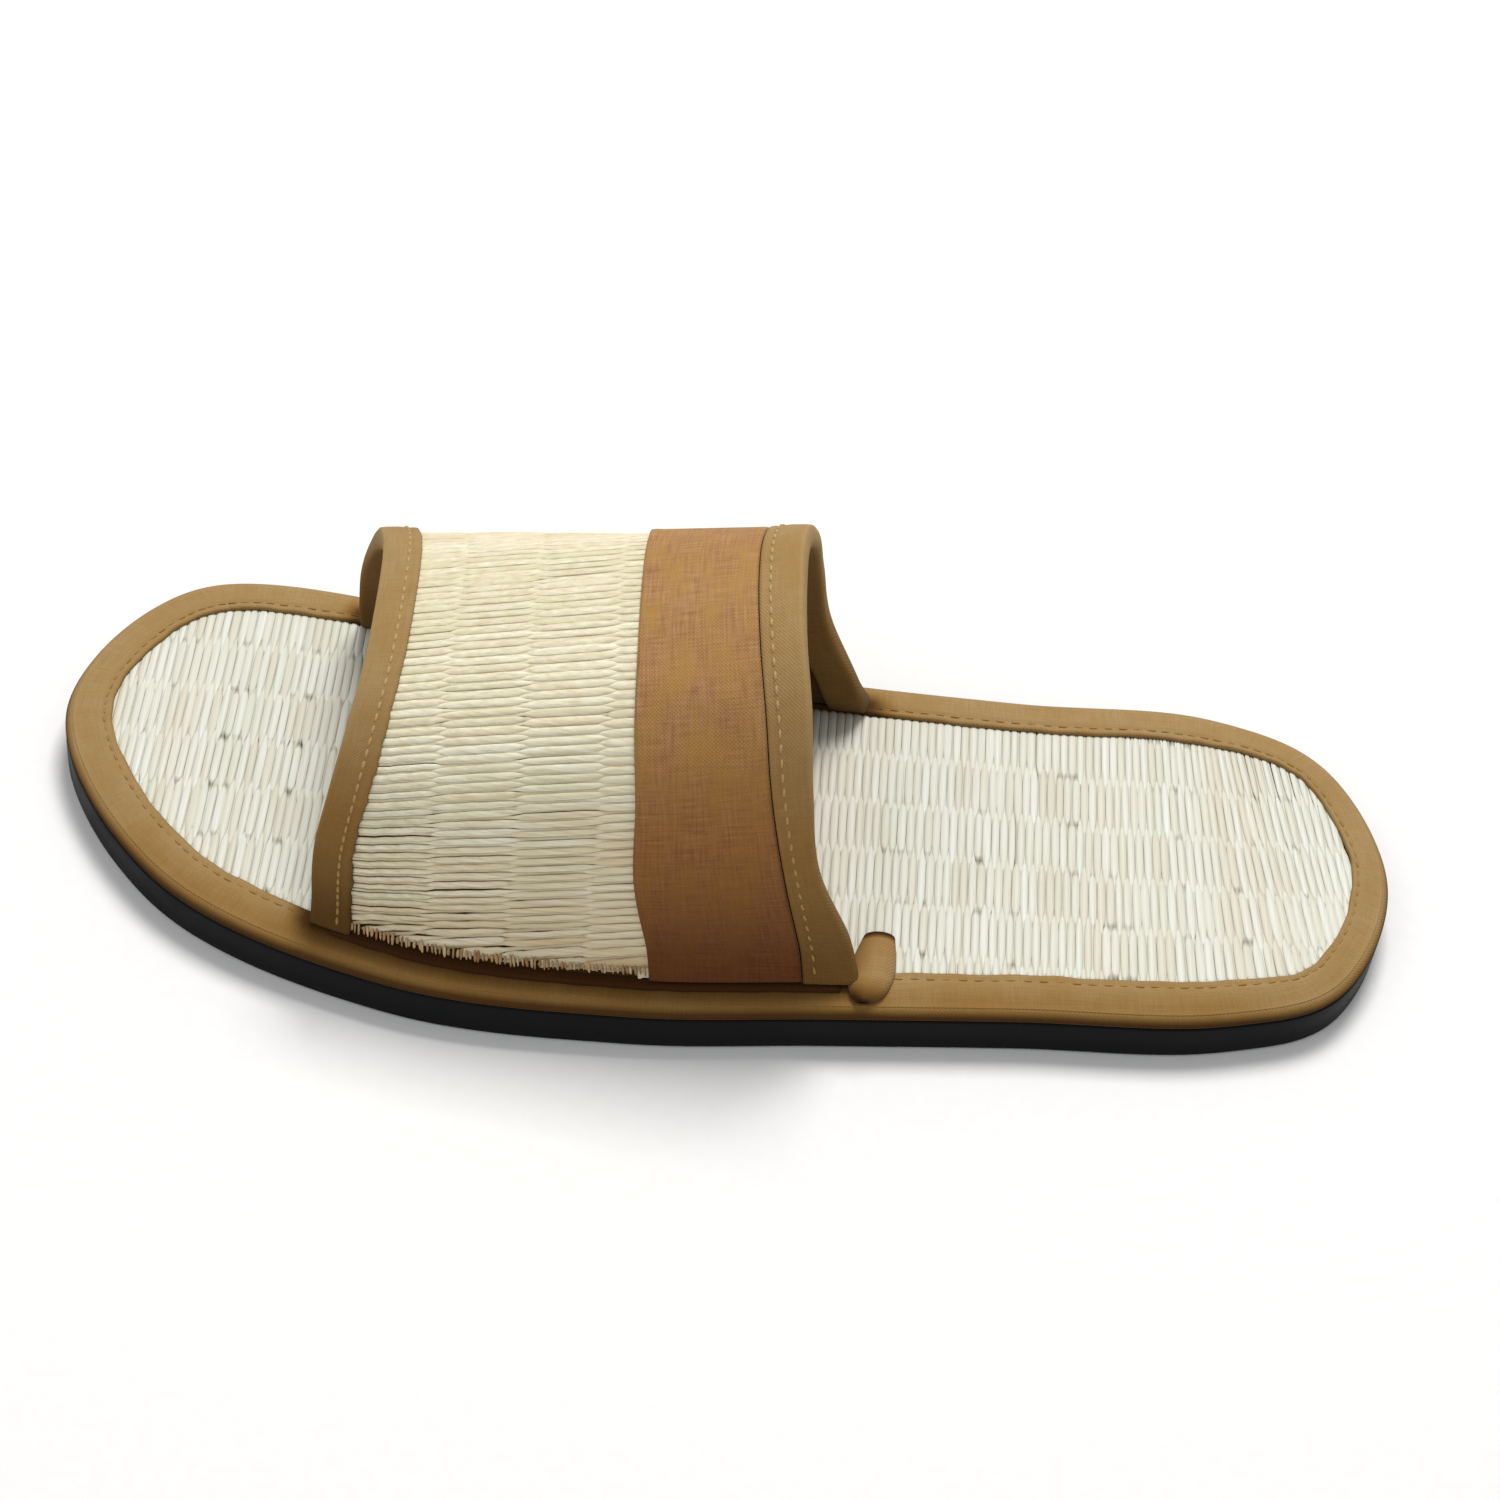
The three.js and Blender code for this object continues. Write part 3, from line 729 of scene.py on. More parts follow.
def makeEdgeTape():
    r, flange = edgeTape["round"], tape["flange"]
    stitchAt = edgeTape["stitchInset"]
    profile = [(tape["under"], soleTop + 0.8), (tape["under"], soleTop + 0.03), (1.0, soleTop + 0.03)]
    profile += [(0.35, soleTop + 0.1), (0.03, soleTop + 0.5), (-0.06, soleTop + 1.0)]
    low = tapeTop - edgeTape["slope"]
    profile += [(r - a, b) for a, b in bend(0, low - r, r, 8, 84, 7)]
    profile += [(4.4, low + 0.42), (5.9, tapeTop - 0.1), (stitchAt - 0.8, tapeTop + 0.04)]
    profile += [(stitchAt, tapeTop - edgeTape["stitchDip"]), (stitchAt + 0.7, tapeTop + 0.06)]
    profile += [(flange - 0.2, tapeTop), (flange, tapeTop - 0.25), (flange, matTop + 0.2)]
    profile += [(flange, matTop - 0.3), (flange - 1.5, matTop - 0.3), (1.4, matTop - 0.1)]
    bm = startPiece(clothMarks)

    def moved(share, out):  # the wandering inner edge, and the narrower flange round the heel
        turns = share * outlineLength
        long, short = edgeTape["wanderWaves"]
        sway = edgeTape["wander"] * (np.sin(turns / long + 2) + 0.6 * np.sin(turns / short)) / 1.6
        narrower = (flangeAt(share) - flange) * np.clip((out - r) / (flange - r), 0, 1)
        return out + sway * np.clip((out - 6) / 3, 0, 1) + narrower

    # where the strap's painted shadow lies on the tape
    def besideStrap(y):
        return np.clip((y - edgeTape["shadeFrom"]) / 4, 0, 1) * np.clip((edgeTape["shadeTo"] - y) / 6, 0, 1)

    def shape(u, v):
        out, up = alongProfile(profile, v)
        turns = u * outlineLength
        onTop = np.clip((up - matTop) / 0.6, 0, 1) * np.clip((out - 1.5) / 3, 0, 1)
        long, short = edgeTape["rippleWaves"]
        up = up + edgeTape["ripple"] * (np.sin(turns / long) + np.sin(turns / short + 1.2)) * onTop
        x, y = rimAt(u, moved(u, out))
        return np.stack([x, y, up], -1)

    def marks(u, v):
        out, up = alongProfile(profile, v)
        x, y = rimAt(u, out)
        fold = np.clip(1 - abs(out - 1.6) / 1.2, 0, 1) * np.clip((up - tapeTop + 2.6) / 0.8, 0, 1)
        low = np.clip((tapeTop - 1.1 - up) / 2.0, 0, 1)
        inner = np.clip((out - flange + 0.5) / 0.4, 0, 1)
        outer = np.clip(x / 30, 0, 1) * np.clip((130 - y) / 30, 0, 1) * np.clip((8 - out) / 5, 0, 1)
        # The tape's soil mark is painted shade and painted shadow: the strap's shadow, the low side, the
        # inner edge and the outer side.
        shade = edgeTape["shade"] * besideStrap(y) * np.clip((out - 1.5) / 5, 0.15, 1) * (up > soleTop + 1)
        soilAndShade = edgeTape["lowShade"] * low + edgeTape["innerShade"] * inner
        soilAndShade = soilAndShade + edgeTape["outerSideShade"] * outer + shade
        return {"edgeWear": fold * edgeTape["wear"], "soilAndShade": np.clip(soilAndShade, 0, edgeTape["mostShade"])}

    addGrid(bm, outlineSteps, edgeTape["sections"], shape, outlineLength, edgeTape["unfolded"], marks)
    closeSeams(bm)
    finishPiece("edgeTape", bm, tapeCloth, "edge_tape", "edge_binding")
    bm = startPiece(clothMarks)
    count = int(outlineLength / edgeTape["stitchPitch"])
    for i in range(count):
        share = i / count
        inset = moved(share, stitchAt)
        x, y = rimAt(share, inset)
        if besideStrap(y) > 0.9:
            continue
        beforeX, beforeY = rimAt(share - 0.001, inset)
        # stitches beside the strap get its painted shadow
        clean = edgeTape["stitchSoilShade"]
        soiledAndShaded = {"soilAndShade": clean + (0.9 - clean) * float(besideStrap(y))}
        spot = (x, y, tapeTop - edgeTape["stitchSunk"])
        addStitch(bm, spot, (x - beforeX, y - beforeY, 0), (0, 0, 1), stitch, soiledAndShaded)
    return finishPiece("edgeStitches", bm, threadCloth, "edge_tape")


makeEdgeTape()


# Woven straws: each goes over one warp thread and under the next, its neighbours the other way
weave = {
    "pitch": 0.88,
    "flat": 0.55,
    "flatTop": 0.8,
    "thick": 0.19,
    "sink": 0.24,
    "turnover": 0.28,
    "dashReach": 0.24,  # how far each side of a warp thread a straw can get painted shade
    "dashShare": 0.8,  # straws without a dark place, for each one that has it
    "swell": 1.15,  # how soon a straw is at its full width past a warp thread
    "endDip": 0.25,
    "tone": 0.52,
    "toneSpread": 0.16,
    "rareTone": 0.2,
    "rareShare": 0.02,
    "slackSpread": 0.06,
    "swingSpread": 0.07,
    "around": 8,
    "unrolled": 4,
}


def strawSection(v, warpPlace, index, mat, slack):
    wave = np.sin(math.pi * (warpPlace + index))
    over = np.sign(wave) * abs(wave) ** weave["turnover"]
    half = mat["narrow"] + (mat["wide"] * slack - mat["narrow"]) * np.clip(over * weave["swell"], 0, 1)
    angle = v * 2 * math.pi
    across = np.sign(np.cos(angle)) * abs(np.cos(angle)) ** weave["flat"]
    rounded = np.sign(np.sin(angle)) * abs(np.sin(angle)) ** weave["flatTop"]
    up = mat["relief"] * over + weave["thick"] * rounded
    most = mat["relief"] + weave["thick"]
    level = (up + most) / (2 * most)
    return half * across, up - weave["sink"], level


def drawStraw(rng):
    if rng.random() < weave["rareShare"]:
        tone = weave["rareTone"]
    else:
        tone = float(np.clip(rng.normal(weave["tone"], weave["toneSpread"]), 0.1, 1))
    return {
        "tone": tone,
        "slack": rng.normal(1.0, weave["slackSpread"]),
        "phase": rng.random() * 2 * math.pi,
        "swing": rng.normal(0, weave["swingSpread"]),
        "dash": max(0.0, rng.uniform(-weave["dashShare"], 1)),
    }


def addStraw(bm, steps, length, index, mat, straw, warpAt, place, soilAndShade=0.0, smooth=0.0):
    def shape(u, v):
        side, up, level = strawSection(v, warpAt(u), index, mat, straw["slack"])
        pinch = np.clip(np.minimum(u, 1 - u) * steps, 0, 1)
        return place(u, side * pinch, up * pinch - weave["endDip"] * (1 - pinch))

    def marks(u, v):
        side, up, level = strawSection(v, warpAt(u), index, mat, straw["slack"])
        # Low strawLift, in the gaps and at warp crossings, is painted shade in the straw material
        crossing = np.clip(1 - abs(np.sin(math.pi * warpAt(u))) / weave["dashReach"], 0, 1)
        level = (level + (1 - level) * smooth) * (1 - crossing * straw["dash"] * mat["dashes"])
        return {
            "strawTone": np.full(len(u), straw["tone"]),
            "strawLift": level,
            "soilAndShade": np.full(len(u), soilAndShade),
        }

    addGrid(bm, steps, weave["around"], shape, length, weave["unrolled"], marks)


# Footbed: straws lie across the foot on a thin board
footbedMat = {
    "narrow": 0.42,  # half a straw's width where it crosses a warp thread or goes under
    "wide": 0.84,
    "relief": 0.12,
    "dashes": 0.7,
    "warp": 13.2,
    "warpShift": 0.5,
    "warpSway": 0.06,
    "warpWave": 21,
    "swingWave": 15,
    "jitter": 0.04,
    "shortest": 9,
    "tucked": 1.4,  # how far the straws go in under the tape
    "lean": -0.02,  # the straws run a little askew, and more so toward the heel
    "heelLean": 0.16,
    "heelFrom": 72,
    "heelOver": 40,
    "step": 2.2,
    "board": 0.95,
    "boardThick": 1.2,
    "boardInset": 1.1,
    "boardSteps": (24, 160),
}


def makeFootbedMat():
    bm = startPiece(strawMarks)
    inset = flangeAt(outlineShares) - footbedMat["tucked"]
    low, high = footSpan(inset)
    rng = np.random.default_rng(5)
    for i in range(1, int((high - low) / weave["pitch"])):
        straw = drawStraw(rng)
        middle = low + i * weave["pitch"] + rng.normal(0, footbedMat["jitter"])
        toHeel = np.clip((middle - footbedMat["heelFrom"]) / footbedMat["heelOver"], 0, 1)
        lean = footbedMat["lean"] + footbedMat["heelLean"] * toHeel ** 2
        right, left = 0.0, 0.0
        for tries in range(3):  # the straw's ends move as it leans
            reach = sideReach(np.clip(middle + lean * np.array([right, left]), low, high), inset)
            right, left = float(reach[0][0]), float(reach[1][1])
        if right - left < footbedMat["shortest"]:
            continue
        spread = 2 * footbedMat["heelLean"] * toHeel / footbedMat["heelOver"]

        def place(u, side, up):
            x = left + (right - left) * u
            y = middle + lean * x + straw["swing"] * np.sin(x / footbedMat["swingWave"] + straw["phase"])
            return np.stack([x, np.clip(y + side * (1 + spread * x), low, high), matTop + up], -1)

        def warpAt(u):
            x = left + (right - left) * u
            sway = footbedMat["warpSway"] * np.sin(middle / footbedMat["warpWave"])
            return x / footbedMat["warp"] + sway + footbedMat["warpShift"]

        length = right - left
        addStraw(bm, int(length / footbedMat["step"]), length, i, footbedMat, straw, warpAt, place)
    closeSeams(bm)
    finishPiece("footbedStraws", bm, footbedStraw, "rush_mat")
    bm = startPiece(clothMarks)
    low, high = footSpan(footbedMat["boardInset"])

    def board(u, v):
        y = (low + high) / 2 - (high - low) / 2 * np.cos(math.pi * v)
        right, left = sideReach(y, footbedMat["boardInset"])
        return np.stack([left + (right - left) * u, y, np.full(len(u), matTop - footbedMat["board"])], -1)

    addGrid(bm, *footbedMat["boardSteps"], board, *footSheet)
    bmesh.ops.remove_doubles(bm, verts=bm.verts[:], dist=weldDistance)
    bmesh.ops.solidify(bm, geom=bm.faces[:], thickness=footbedMat["boardThick"] * mm)
    bmesh.ops.recalc_face_normals(bm, faces=bm.faces[:])
    return finishPiece("footbedBoard", bm, liningCloth, "rush_mat", "footbed")


makeFootbedMat()


# Strap mat: straws run from the front edge back under the band, evenly apart round the arch
strapMat = {
    "narrow": 0.4,
    "wide": 0.8,
    "relief": 0.13,
    "dashes": 0.3,
    "footWider": 0.55,  # how much wider the straws are at the feet than at the crown
    "warp": 15.6,
    "warpStart": -73.0,
    "steps": 36,
    "stations": 30,
    "length": 70,
    "lift": 0.15,
    "frontTuck": 0.015,  # share of the depth where the straws start, under the front binding
    "tuck": 0.05,  # share of the depth that goes on under the band
    "footGap": 1.7,
    "jitter": 0.05,
    "swingWaves": 9,
    "crownFall": 2.5,
    "crownWider": 0.1,
    "crownTone": 0.5,
    "crownSmooth": 0.62,  # how much less painted shade the gaps get at the crown
    "smoothFall": 1.6,
    "tone": 0.54,
    "crownSpread": 0.4,  # how much the straws differ in tone at the crown
    "moreSpread": 0.9,  # and how much more at the feet
    "loose": 0.23,  # how much narrower the straws look where the mat bends down
    "looseAt": 0.66,
    "looseOver": 0.3,
    # darker toward the feet: painted shade, partly soiling
    "soilAndShade": 0.24,
    "soilShadeTo": 0.34,
    "soilShadeEase": 1.2,
}


def makeStrapMat():
    bm = startPiece(strawMarks)
    rng = np.random.default_rng(8)
    places = []
    for toward, reach in ((1, arcPlaces[-1].max()), (-1, -arcPlaces[0].min())):
        arc, i = weave["pitch"] / 2, 0 if toward > 0 else 1
        while arc < reach - strapMat["footGap"]:
            down = arc / reach
            wider = 1 + strapMat["footWider"] * down ** 3
            bent = max(0.0, 1 - ((down - strapMat["looseAt"]) / strapMat["looseOver"]) ** 2)
            crown = max(0.0, 1 - strapMat["crownFall"] * down)
            slack = 1 + strapMat["crownWider"] * crown - strapMat["loose"] * bent
            smooth = strapMat["crownSmooth"] * max(0.0, 1 - strapMat["smoothFall"] * down)
            spread = strapMat["crownSpread"] + strapMat["moreSpread"] * down
            places.append((i, arc * toward, wider, slack, spread, smooth))
            arc += weave["pitch"] * wider
            i += 1
    for i, arc, wider, slack, spread, smooth in places:
        straw = drawStraw(rng)
        straw["slack"] *= slack
        differs = (straw["tone"] - weave["tone"]) * spread
        straw["tone"] = strapMat["tone"] + differs + strapMat["crownTone"] * smooth
        arc += rng.normal(0, strapMat["jitter"])
        ends = arcPlaces[0] if arc < 0 else arcPlaces[-1]
        free = arcDepths[abs(ends) > abs(arc) + strapMat["footGap"]]
        last = float(strapShare("band", turnAtArc(arc, [0.55])[0])) + strapMat["tuck"]
        if len(free) < 3 or free[0] > last - 0.05:
            continue
        stations = np.linspace(max(float(free[0]), strapMat["frontTuck"]), last, strapMat["stations"])
        swing = straw["swing"] * np.sin(stations * strapMat["swingWaves"] + straw["phase"])
        turns = turnAtArc(arc + swing, stations)
        perMm = np.interp(turns, arcTurns[1:], 1 / arcSteps[:, midDepth]) * (arcTurns[1] - arcTurns[0])
        shares = np.linspace(0, 1, strapMat["stations"])

        def place(u, side, up):
            depth, turn = np.interp(u, shares, stations), np.interp(u, shares, turns)
            turn = np.clip(turn + side * wider * np.interp(u, shares, perMm), 0.001, 0.999)
            return strapAt(turn, depth, up + strapMat["lift"])

        def warpAt(u):
            y = np.interp(u, shares, strapSurface(turns, stations)[:, 1])
            return (y - strapMat["warpStart"]) / strapMat["warp"]

        # straws low on the arch are darkened: painted shade, partly soiling
        up = 1 - abs(1 - 2 * float(turns[len(turns) // 2]))
        soilAndShade = strapMat["soilAndShade"] * max(0.0, 1 - up / strapMat["soilShadeTo"]) ** strapMat["soilShadeEase"]
        addStraw(bm, strapMat["steps"], strapMat["length"], i, strapMat, straw, warpAt, place, soilAndShade, smooth)
    closeSeams(bm)
    return finishPiece("strapStraws", bm, strapStraw, "rush_mat")


makeStrapMat()


# Cloth on the strap is darkened toward the feet: painted shade, partly soiling
soilShadeTop = 0.74  # share of the arch's height that is not darkened
soilShadeEase = 1.4


# A shell that follows the arch. The profile gives a depth, a height over the strap's face and a
# distance past the strap's edge, for turns and shares of the way round the section.
def makeArch(name, material, slot, node, profile, trim, steps, marks=None, most=0.85):
    shares = np.linspace(0, 1, 401)
    length = midArcs[-1] - midArcs[0]
    turns = turnAtArc(midArcs[0] + length * shares, np.full(len(shares), 0.5))
    bm = startPiece(clothMarks)

    def shape(u, v):
        turn = np.interp(trim + (1 - 2 * trim) * u, shares, turns)
        depth, height, past = profile(turn, v)
        along = strapSurface(turn, 1.0) - strapSurface(turn, 0.0)
        along /= np.linalg.norm(along, axis=-1, keepdims=True)
        return strapAt(turn, np.clip(depth, 0, 1), height) + along * past[:, None]

    def soiledAndShaded(u, v):
        turn = np.interp(trim + (1 - 2 * trim) * u, shares, turns)
        up = 1 - abs(1 - 2 * turn)
        # darker toward the feet: painted shade, partly soiling, with any painted shade the marks add
        soilAndShade = most * np.clip(1 - up / soilShadeTop, 0, 1) ** soilShadeEase
        more = marks(turn, v) if marks else {}
        return {**more, "soilAndShade": np.maximum(soilAndShade, more.get("soilAndShade", 0))}

    addGrid(bm, steps[0], steps[1], shape, length, steps[2], soiledAndShaded)
    closeSeams(bm)
    return finishPiece(name, bm, material, slot, node)


# Lining and the mat's backing, one wall between the two edges
def makeLining():
    wall = strap["wall"]
    corners = [(1, -0.5), (50, -0.5), (99, -0.5), (99, -wall), (50, -wall), (1, -wall)]

    def profile(turn, v):
        depth, height = alongProfile(corners, v)
        return depth / 100, height, np.zeros(len(v))

    return makeArch("strapLining", liningCloth, "rush_mat", "strap", profile, 0.0, (160, 60, 180))


makeLining()


# Brown cloth band, its front edge folded under, its back edge under the binding
band = {
    "thick": 0.85,
    "lift": 0.2,
    "groove": 0.1,  # left open in front of the back binding
    "width": 24,
    "ripple": 0.1,
    "ripples": 61,
}


def makeBand():
    t, w = band["thick"], band["width"]
    corners = [(0, 0), (0, 0.5 * t), (0.14, 0.85 * t), (0.5, t), (1.3, t * 1.06), (2.2, t * 0.96), (12, t)]
    corners += [(w - 1.5, t), (w - 0.4, t * 0.95), (w, t * 0.6), (w, 0), (12, 0), (2, 0)]

    def profile(turn, v):
        low = strapShare("band", turn)
        high = strapShare("fold", turn) - band["groove"] / strapSpan(turn)
        across, height = alongProfile(corners, v)
        waves = band["ripple"] * np.sin(turn * band["ripples"]) * np.sin(across / w * math.pi)
        waves = waves * (height > 0.5)
        return low + (high - low) * across / w, height + band["lift"] + waves, np.zeros(len(v))

    return makeArch("bandCloth", bandCloth, "band_cloth", "strap_band", profile, 0.004, (220, 60, 50))


makeBand()


# Bindings: tape folded round the strap's front and back edges, stitched along its inner edge
binding = {
    "thick": 0.85,
    "over": 0.3,
    "inside": 7.4,
    "front": 7.2,
    "frontStitch": 4.9,
    "backStitch": 2.3,  # measured from the fold line beside the band
    "stitchPitch": 2.6,
    "stitch": {"length": 1.8, "width": 0.62, "height": 0.34},
    # darker toward the feet: painted shade, partly soiling
    "soilShadeFront": 0.85,
    "soilShadeBack": 0.72,
    "stitchSoilShade": 0.4,
    # painted shade on the inside of the strap
    "insideShade": 0.55,
    "wear": 0.2,
    "ripple": 0.36,  # how far the straws push the front binding's inner edge about
    "ripples": 160,
    "foldSteps": 9,
}


def makeBinding(name, atBack, node):
    t, wall = binding["thick"], strap["wall"]
    top = binding["over"] + t
    inside = binding["inside"]
    stitchAt = binding["backStitch"] if atBack else binding["frontStitch"]
    away = -1 if atBack else 1
    edge = 1 if atBack else 0

    def widthAt(turn):  # from the strap's edge to the binding's inner edge
        wide = (1 - strapShare("fold", turn)) * strapSpan(turn)
        place = np.asarray(turn) * binding["ripples"]
        swing = np.sin(place / 0.9) * np.sin(place / 2.3 + 1) + 0.6 * np.sin(place / 5.1)
        toFoot = abs(1 - 2 * np.asarray(turn))
        return wide if atBack else binding["front"] + binding["ripple"] * swing * toFoot

    face = [(1.0, 0.1), (1.0, top - 0.3), (0.985, top - 0.08), (0.955, top), (0.84, top + 0.06)]
    face += [(0.77, top - 0.12), (0.7, top + 0.05), (0.45, top + 0.16), (0.12, top + 0.08)]
    scaled = [(a * 10, b) for a, b in face]
    half = wall / 2
    for angle in np.linspace(1.35, -1.35, binding["foldSteps"]):
        scaled.append((-0.15 - 0.85 * math.cos(angle), -half + (top + half) * math.sin(angle)))
    scaled += [(inside * 0.5, -wall - top), (inside - 0.3, -wall - top + 0.1), (inside, -wall - 0.5)]
    scaled += [(inside, -wall - 0.1), (0.5, -wall - 0.1), (0.5, 0.1)]

    def profile(turn, v):
        out, height = alongProfile(scaled, v)
        wide = widthAt(turn)
        onFace = (out > 0) & (height > 0)
        distance = np.where(onFace, out / 10 * wide, out)
        depth = edge + away * np.maximum(distance, 0) / strapSpan(turn)
        return depth, height, np.where(out < 0, away * out, 0)

    def marks(turn, v):
        out, height = alongProfile(scaled, v)
        # the part inside the strap gets painted shade
        within = np.clip((-wall / 2 - height) / wall, 0, 1)
        worn = np.clip(1 - abs(out + 0.4) / 0.7, 0, 1)
        return {"edgeWear": worn * binding["wear"], "soilAndShade": binding["insideShade"] * within}

    most = binding["soilShadeBack"] if atBack else binding["soilShadeFront"]
    makeArch(name, tapeCloth, "edge_tape", node, profile, 0.002, (220, 66, 36), marks, most)
    return widthAt, stitchAt, away, edge, top


def makeBindingStitches():
    bm = startPiece(clothMarks)
    for atBack, (widthAt, stitchAt, away, edge, top) in enumerate(bindings):
        for arc in np.arange(midArcs[0] + 3, midArcs[-1] - 3, binding["stitchPitch"]):
            turn = turnAtArc(arc, [0.5])[0]
            inset = float(widthAt(turn)) - stitchAt if atBack else stitchAt
            depth = edge + away * inset / float(strapSpan(turn))
            turns = np.array([turn - 0.003, turn, turn + 0.003])
            before, place, after = strapAt(turns, depth, np.full(3, top + 0.02))
            raised = strapAt(turns, depth, np.full(3, top + 1))
            # the stitches darken toward the feet too: painted shade, partly soiling
            up = 1 - abs(1 - 2 * turn)
            soiledAndShaded = {"soilAndShade": binding["stitchSoilShade"] * max(0.0, 1 - up / soilShadeTop) ** soilShadeEase}
            addStitch(bm, place, after - before, raised[1] - place, binding["stitch"], soiledAndShaded)
    return finishPiece("bindingStitches", bm, threadCloth, "edge_tape")


bindings = [makeBinding("frontTape", False, "binding_front"), makeBinding("backTape", True, "binding_back")]
makeBindingStitches()


# Foot of the strap: a seam in the corner where it stands on the tape, dark all over as painted shade, and the
# mat's cut ends above it
footSeam = {
    "out": 0.7,
    "in": 3.2,
    "height": 0.75,
    "sunk": 0.5,
    # painted shade: the seam is dark all over
    "soilAndShade": 1.0,
    "start": 0.03,
    "stop": 0.97,
    "steps": (90, 24),
}
fringe = {
    "pitch": 0.85,
    "length": 2.5,
    "width": 0.6,
    "thick": 0.26,
    "turn": 0.008,  # how far up the arch the cut ends sit
    "reach": 0.01,
    "lift": 0.45,
    "endLift": 0.35,
    "jitter": 0.1,
    "lean": 0.002,
    "lengths": (0.55, 1.15),
    "widths": (0.6, 1.3),
    "tones": (0.2, 0.5),
    # cut ends at the strap's foot are darkened: painted shade, partly soiling
    "lifts": (0.45, 0.7),
    "soilAndShades": (0.5, 1),
}


def makeFootSeam():
    bm = startPiece(clothMarks)
    out, low, top = footSeam["out"], tapeTop - footSeam["sunk"], tapeTop + footSeam["height"]
    section = [(out, low), (out, tapeTop + 0.2), (out - 0.15, top - 0.2), (out - 0.5, top)]
    section += [(-footSeam["in"], top), (-footSeam["in"], low)]
    for foot in (0.0, 1.0):
        toward = 1 if foot < 0.5 else -1

        def shape(u, v):
            depth = footSeam["start"] + (footSeam["stop"] - footSeam["start"]) * u
            places = strapSurface(foot, depth)
            across, up = alongProfile(section, v)
            return np.stack([places[:, 0] + across * toward, places[:, 1], up], -1)

        def marks(u, v):
            return {"soilAndShade": np.full(len(u), footSeam["soilAndShade"])}

        addGrid(bm, *footSeam["steps"], shape, 108, 8, marks)
    closeSeams(bm)
    return finishPiece("strapFootSeam", bm, tapeCloth, "edge_tape")


def makeFringe():
    bm = startPiece(strawMarks)
    rng = np.random.default_rng(3)
    for foot in (fringe["turn"], 1 - fringe["turn"]):
        span = float(strapSpan(foot))
        higher = foot + fringe["reach"] * (1 if foot < 0.5 else -1)
        stop = span * float(strapShare("band", foot))
        for place in np.arange(binding["front"] + 0.3, stop, fringe["pitch"]):
            depth = (place + rng.normal(0, fringe["jitter"])) / span
            size = {
                "length": fringe["length"] * rng.uniform(*fringe["lengths"]),
                "width": fringe["width"] * rng.uniform(*fringe["widths"]),
                "height": fringe["thick"],
            }
            spot = strapAt(foot, depth, fringe["lift"])
            above = strapAt(higher, depth + rng.normal(0, fringe["lean"]), fringe["endLift"])
            looks = {
                "strawTone": rng.uniform(*fringe["tones"]),
                "strawLift": rng.uniform(*fringe["lifts"]),
                "soilAndShade": rng.uniform(*fringe["soilAndShades"]),
            }
            outward = strapAt(foot, depth, fringe["lift"] + 1) - spot
            addStitch(bm, spot, above - spot, outward, size, looks)
    return finishPiece("strapFringe", bm, strapStraw, "rush_mat")


makeFootSeam()
makeFringe()


# Turned-in tail of the back binding, lying on the mat behind the strap's outer foot
tail = {
    "x": (46.8, 44.2, 39.8, 34.6, 29.6),
    "y": (29.0, 29.8, 30.6, 31.3, 32.0),
    "half": (1.4, 3.6, 4.6, 4.2, 3.2),
    "rise": (1.2, 2.4, 3.0, 3.0, 2.6),
    "rest": (0.8, 0.8, 0.5, 0.1, 0.1),  # height over the mat, where it climbs on the tape
    "thick": 0.8,
    "soilAndShade": 0.12,
    # painted shade where the tail lies in the strap's shadow and underneath
    "tuckedShade": 0.8,
    "mouth": 0.88,  # share of the length where the painted shade inside the open end starts
    "steps": (32, 40),
}


def makeTail():
    bm = startPiece(clothMarks)

    def along(name, u):
        return throughRows(tail[name], u)

    def shape(u, v):
        lower = v > 0.5
        angle = np.where(lower, 2 - 2 * v, 2 * v) * math.pi
        side = np.cos(angle)
        crown = np.sqrt(np.clip(1 - side ** 2, 0, 1)) ** 0.8
        wall = np.where(lower, tail["thick"], 0)
        half, rise = along("half", u) - wall, along("rise", u) - wall
        up = matTop + along("rest", u) + np.maximum(rise, 0.05) * crown
        return np.stack([along("x", u), along("y", u) + half * side, up], -1)

    def marks(u, v):
        # painted shade: inside the open end, at the outer end in the strap's shadow, underneath and on the
        # side toward the strap
        mouth = np.clip((u - tail["mouth"]) / 0.05, 0, 1)
        tucked = tail["tuckedShade"] * (np.clip((0.4 - u) / 0.4, 0, 1) + (v > 0.5))
        front = np.clip(np.cos(2 * math.pi * v) * -0.3, 0, 1)
        return {"soilAndShade": np.clip(tail["soilAndShade"] + mouth + tucked + front, 0, 1)}

    addGrid(bm, *tail["steps"], shape, 17, 20, marks)
    closeSeams(bm)
    return finishPiece("bindingTail", bm, tapeCloth, "edge_tape")


makeTail()


# Camera where the photograph was taken from, turned to the slipper
view = {
    "place": (0.4745, -0.0234, 0.5494),
    "aim": (-0.004, 0.003, 0.027),
    "roll": 8.04,
    "lens": 84.0,
    "sensor": 36,
    "nearest": 0.01,
}


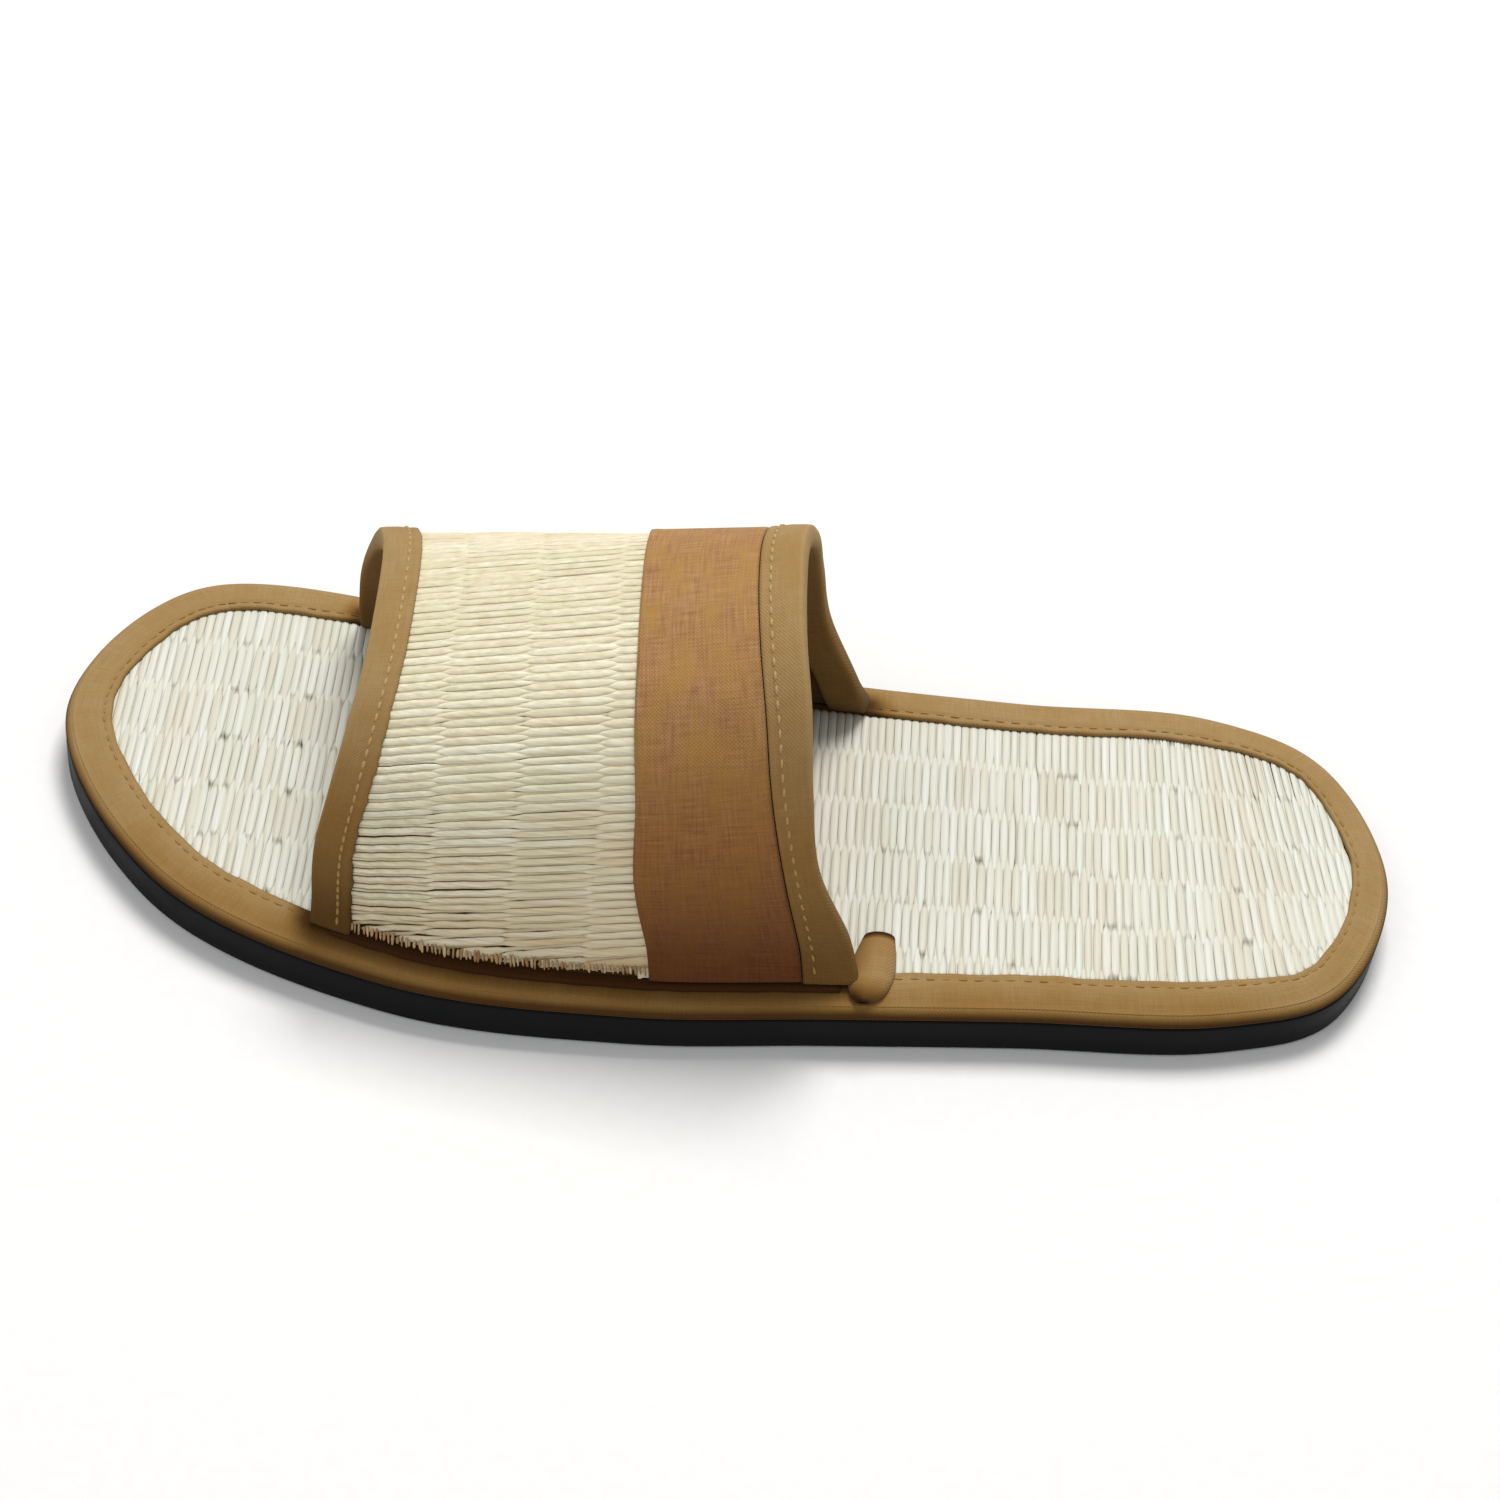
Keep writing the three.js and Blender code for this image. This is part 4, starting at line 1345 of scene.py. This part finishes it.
def makeCamera():
    back = (Vector(view["place"]) - Vector(view["aim"])).normalized()
    level = Vector((0, 0, 1)).cross(back).normalized()
    matrix = Matrix((level, back.cross(level), back)).transposed()
    roll = Matrix.Rotation(math.radians(view["roll"]), 3, back)
    data = bpy.data.cameras.new("photoCamera")
    data.lens = view["lens"]
    data.sensor_width = view["sensor"]
    data.clip_start = view["nearest"]
    camera = bpy.data.objects.new("photoCamera", data)
    bpy.context.scene.collection.objects.link(camera)
    camera.matrix_world = Matrix.Translation(view["place"]) @ (roll @ matrix).to_4x4()
    bpy.context.scene.camera = camera


paper = {
    "size": 3,
    "drop": 0.00005,
    "dark": (0.8, 0.8, 0.8, 1),
    "light": (0.84, 0.84, 0.84, 1),
    "speck": 300,
}


def makeFloor():
    bm = bmesh.new()
    bmesh.ops.create_grid(bm, x_segments=1, y_segments=1, size=paper["size"])
    mesh = bpy.data.meshes.new("floor")
    bm.to_mesh(mesh)
    bm.free()
    floor = bpy.data.objects.new("floor", mesh)
    floor.location.z = -paper["drop"]
    bpy.context.scene.collection.objects.link(floor)
    material, tree, shader, coords = startMaterial("floorPaper", 0.9, 0.2)
    speck = addNoise(tree, coords["Object"], paper["speck"], 3)
    feed(tree, shader, [("Base Color", addMix(tree, speck, paper["dark"], paper["light"]))])
    mesh.materials.append(material)


lights = [
    {"name": "keyLight", "place": (-0.62, 0.1, 1.35), "size": 0.55, "power": 18.9, "colour": (1, 0.98, 0.95)},
    {"name": "fillLight", "place": (0.9, -0.6, 1.1), "size": 1.2, "power": 4.5, "colour": (0.95, 0.97, 1)},
]
skyPower = 0.45


def makeLights():
    for light in lights:
        data = bpy.data.lights.new(light["name"], "AREA")
        data.size = light["size"]
        data.energy = light["power"]
        data.color = light["colour"]
        lamp = bpy.data.objects.new(light["name"], data)
        lamp.location = light["place"]
        lamp.rotation_euler = Vector(light["place"]).to_track_quat("Z", "Y").to_euler()
        bpy.context.scene.collection.objects.link(lamp)
    world = bpy.data.worlds.new("studio")
    world.use_nodes = True
    world.node_tree.nodes["Background"].inputs[0].default_value = (1, 1, 1, 1)
    world.node_tree.nodes["Background"].inputs[1].default_value = skyPower
    bpy.context.scene.world = world
    bpy.context.scene.view_settings.view_transform = "Standard"


makeCamera()
makeFloor()
makeLights()
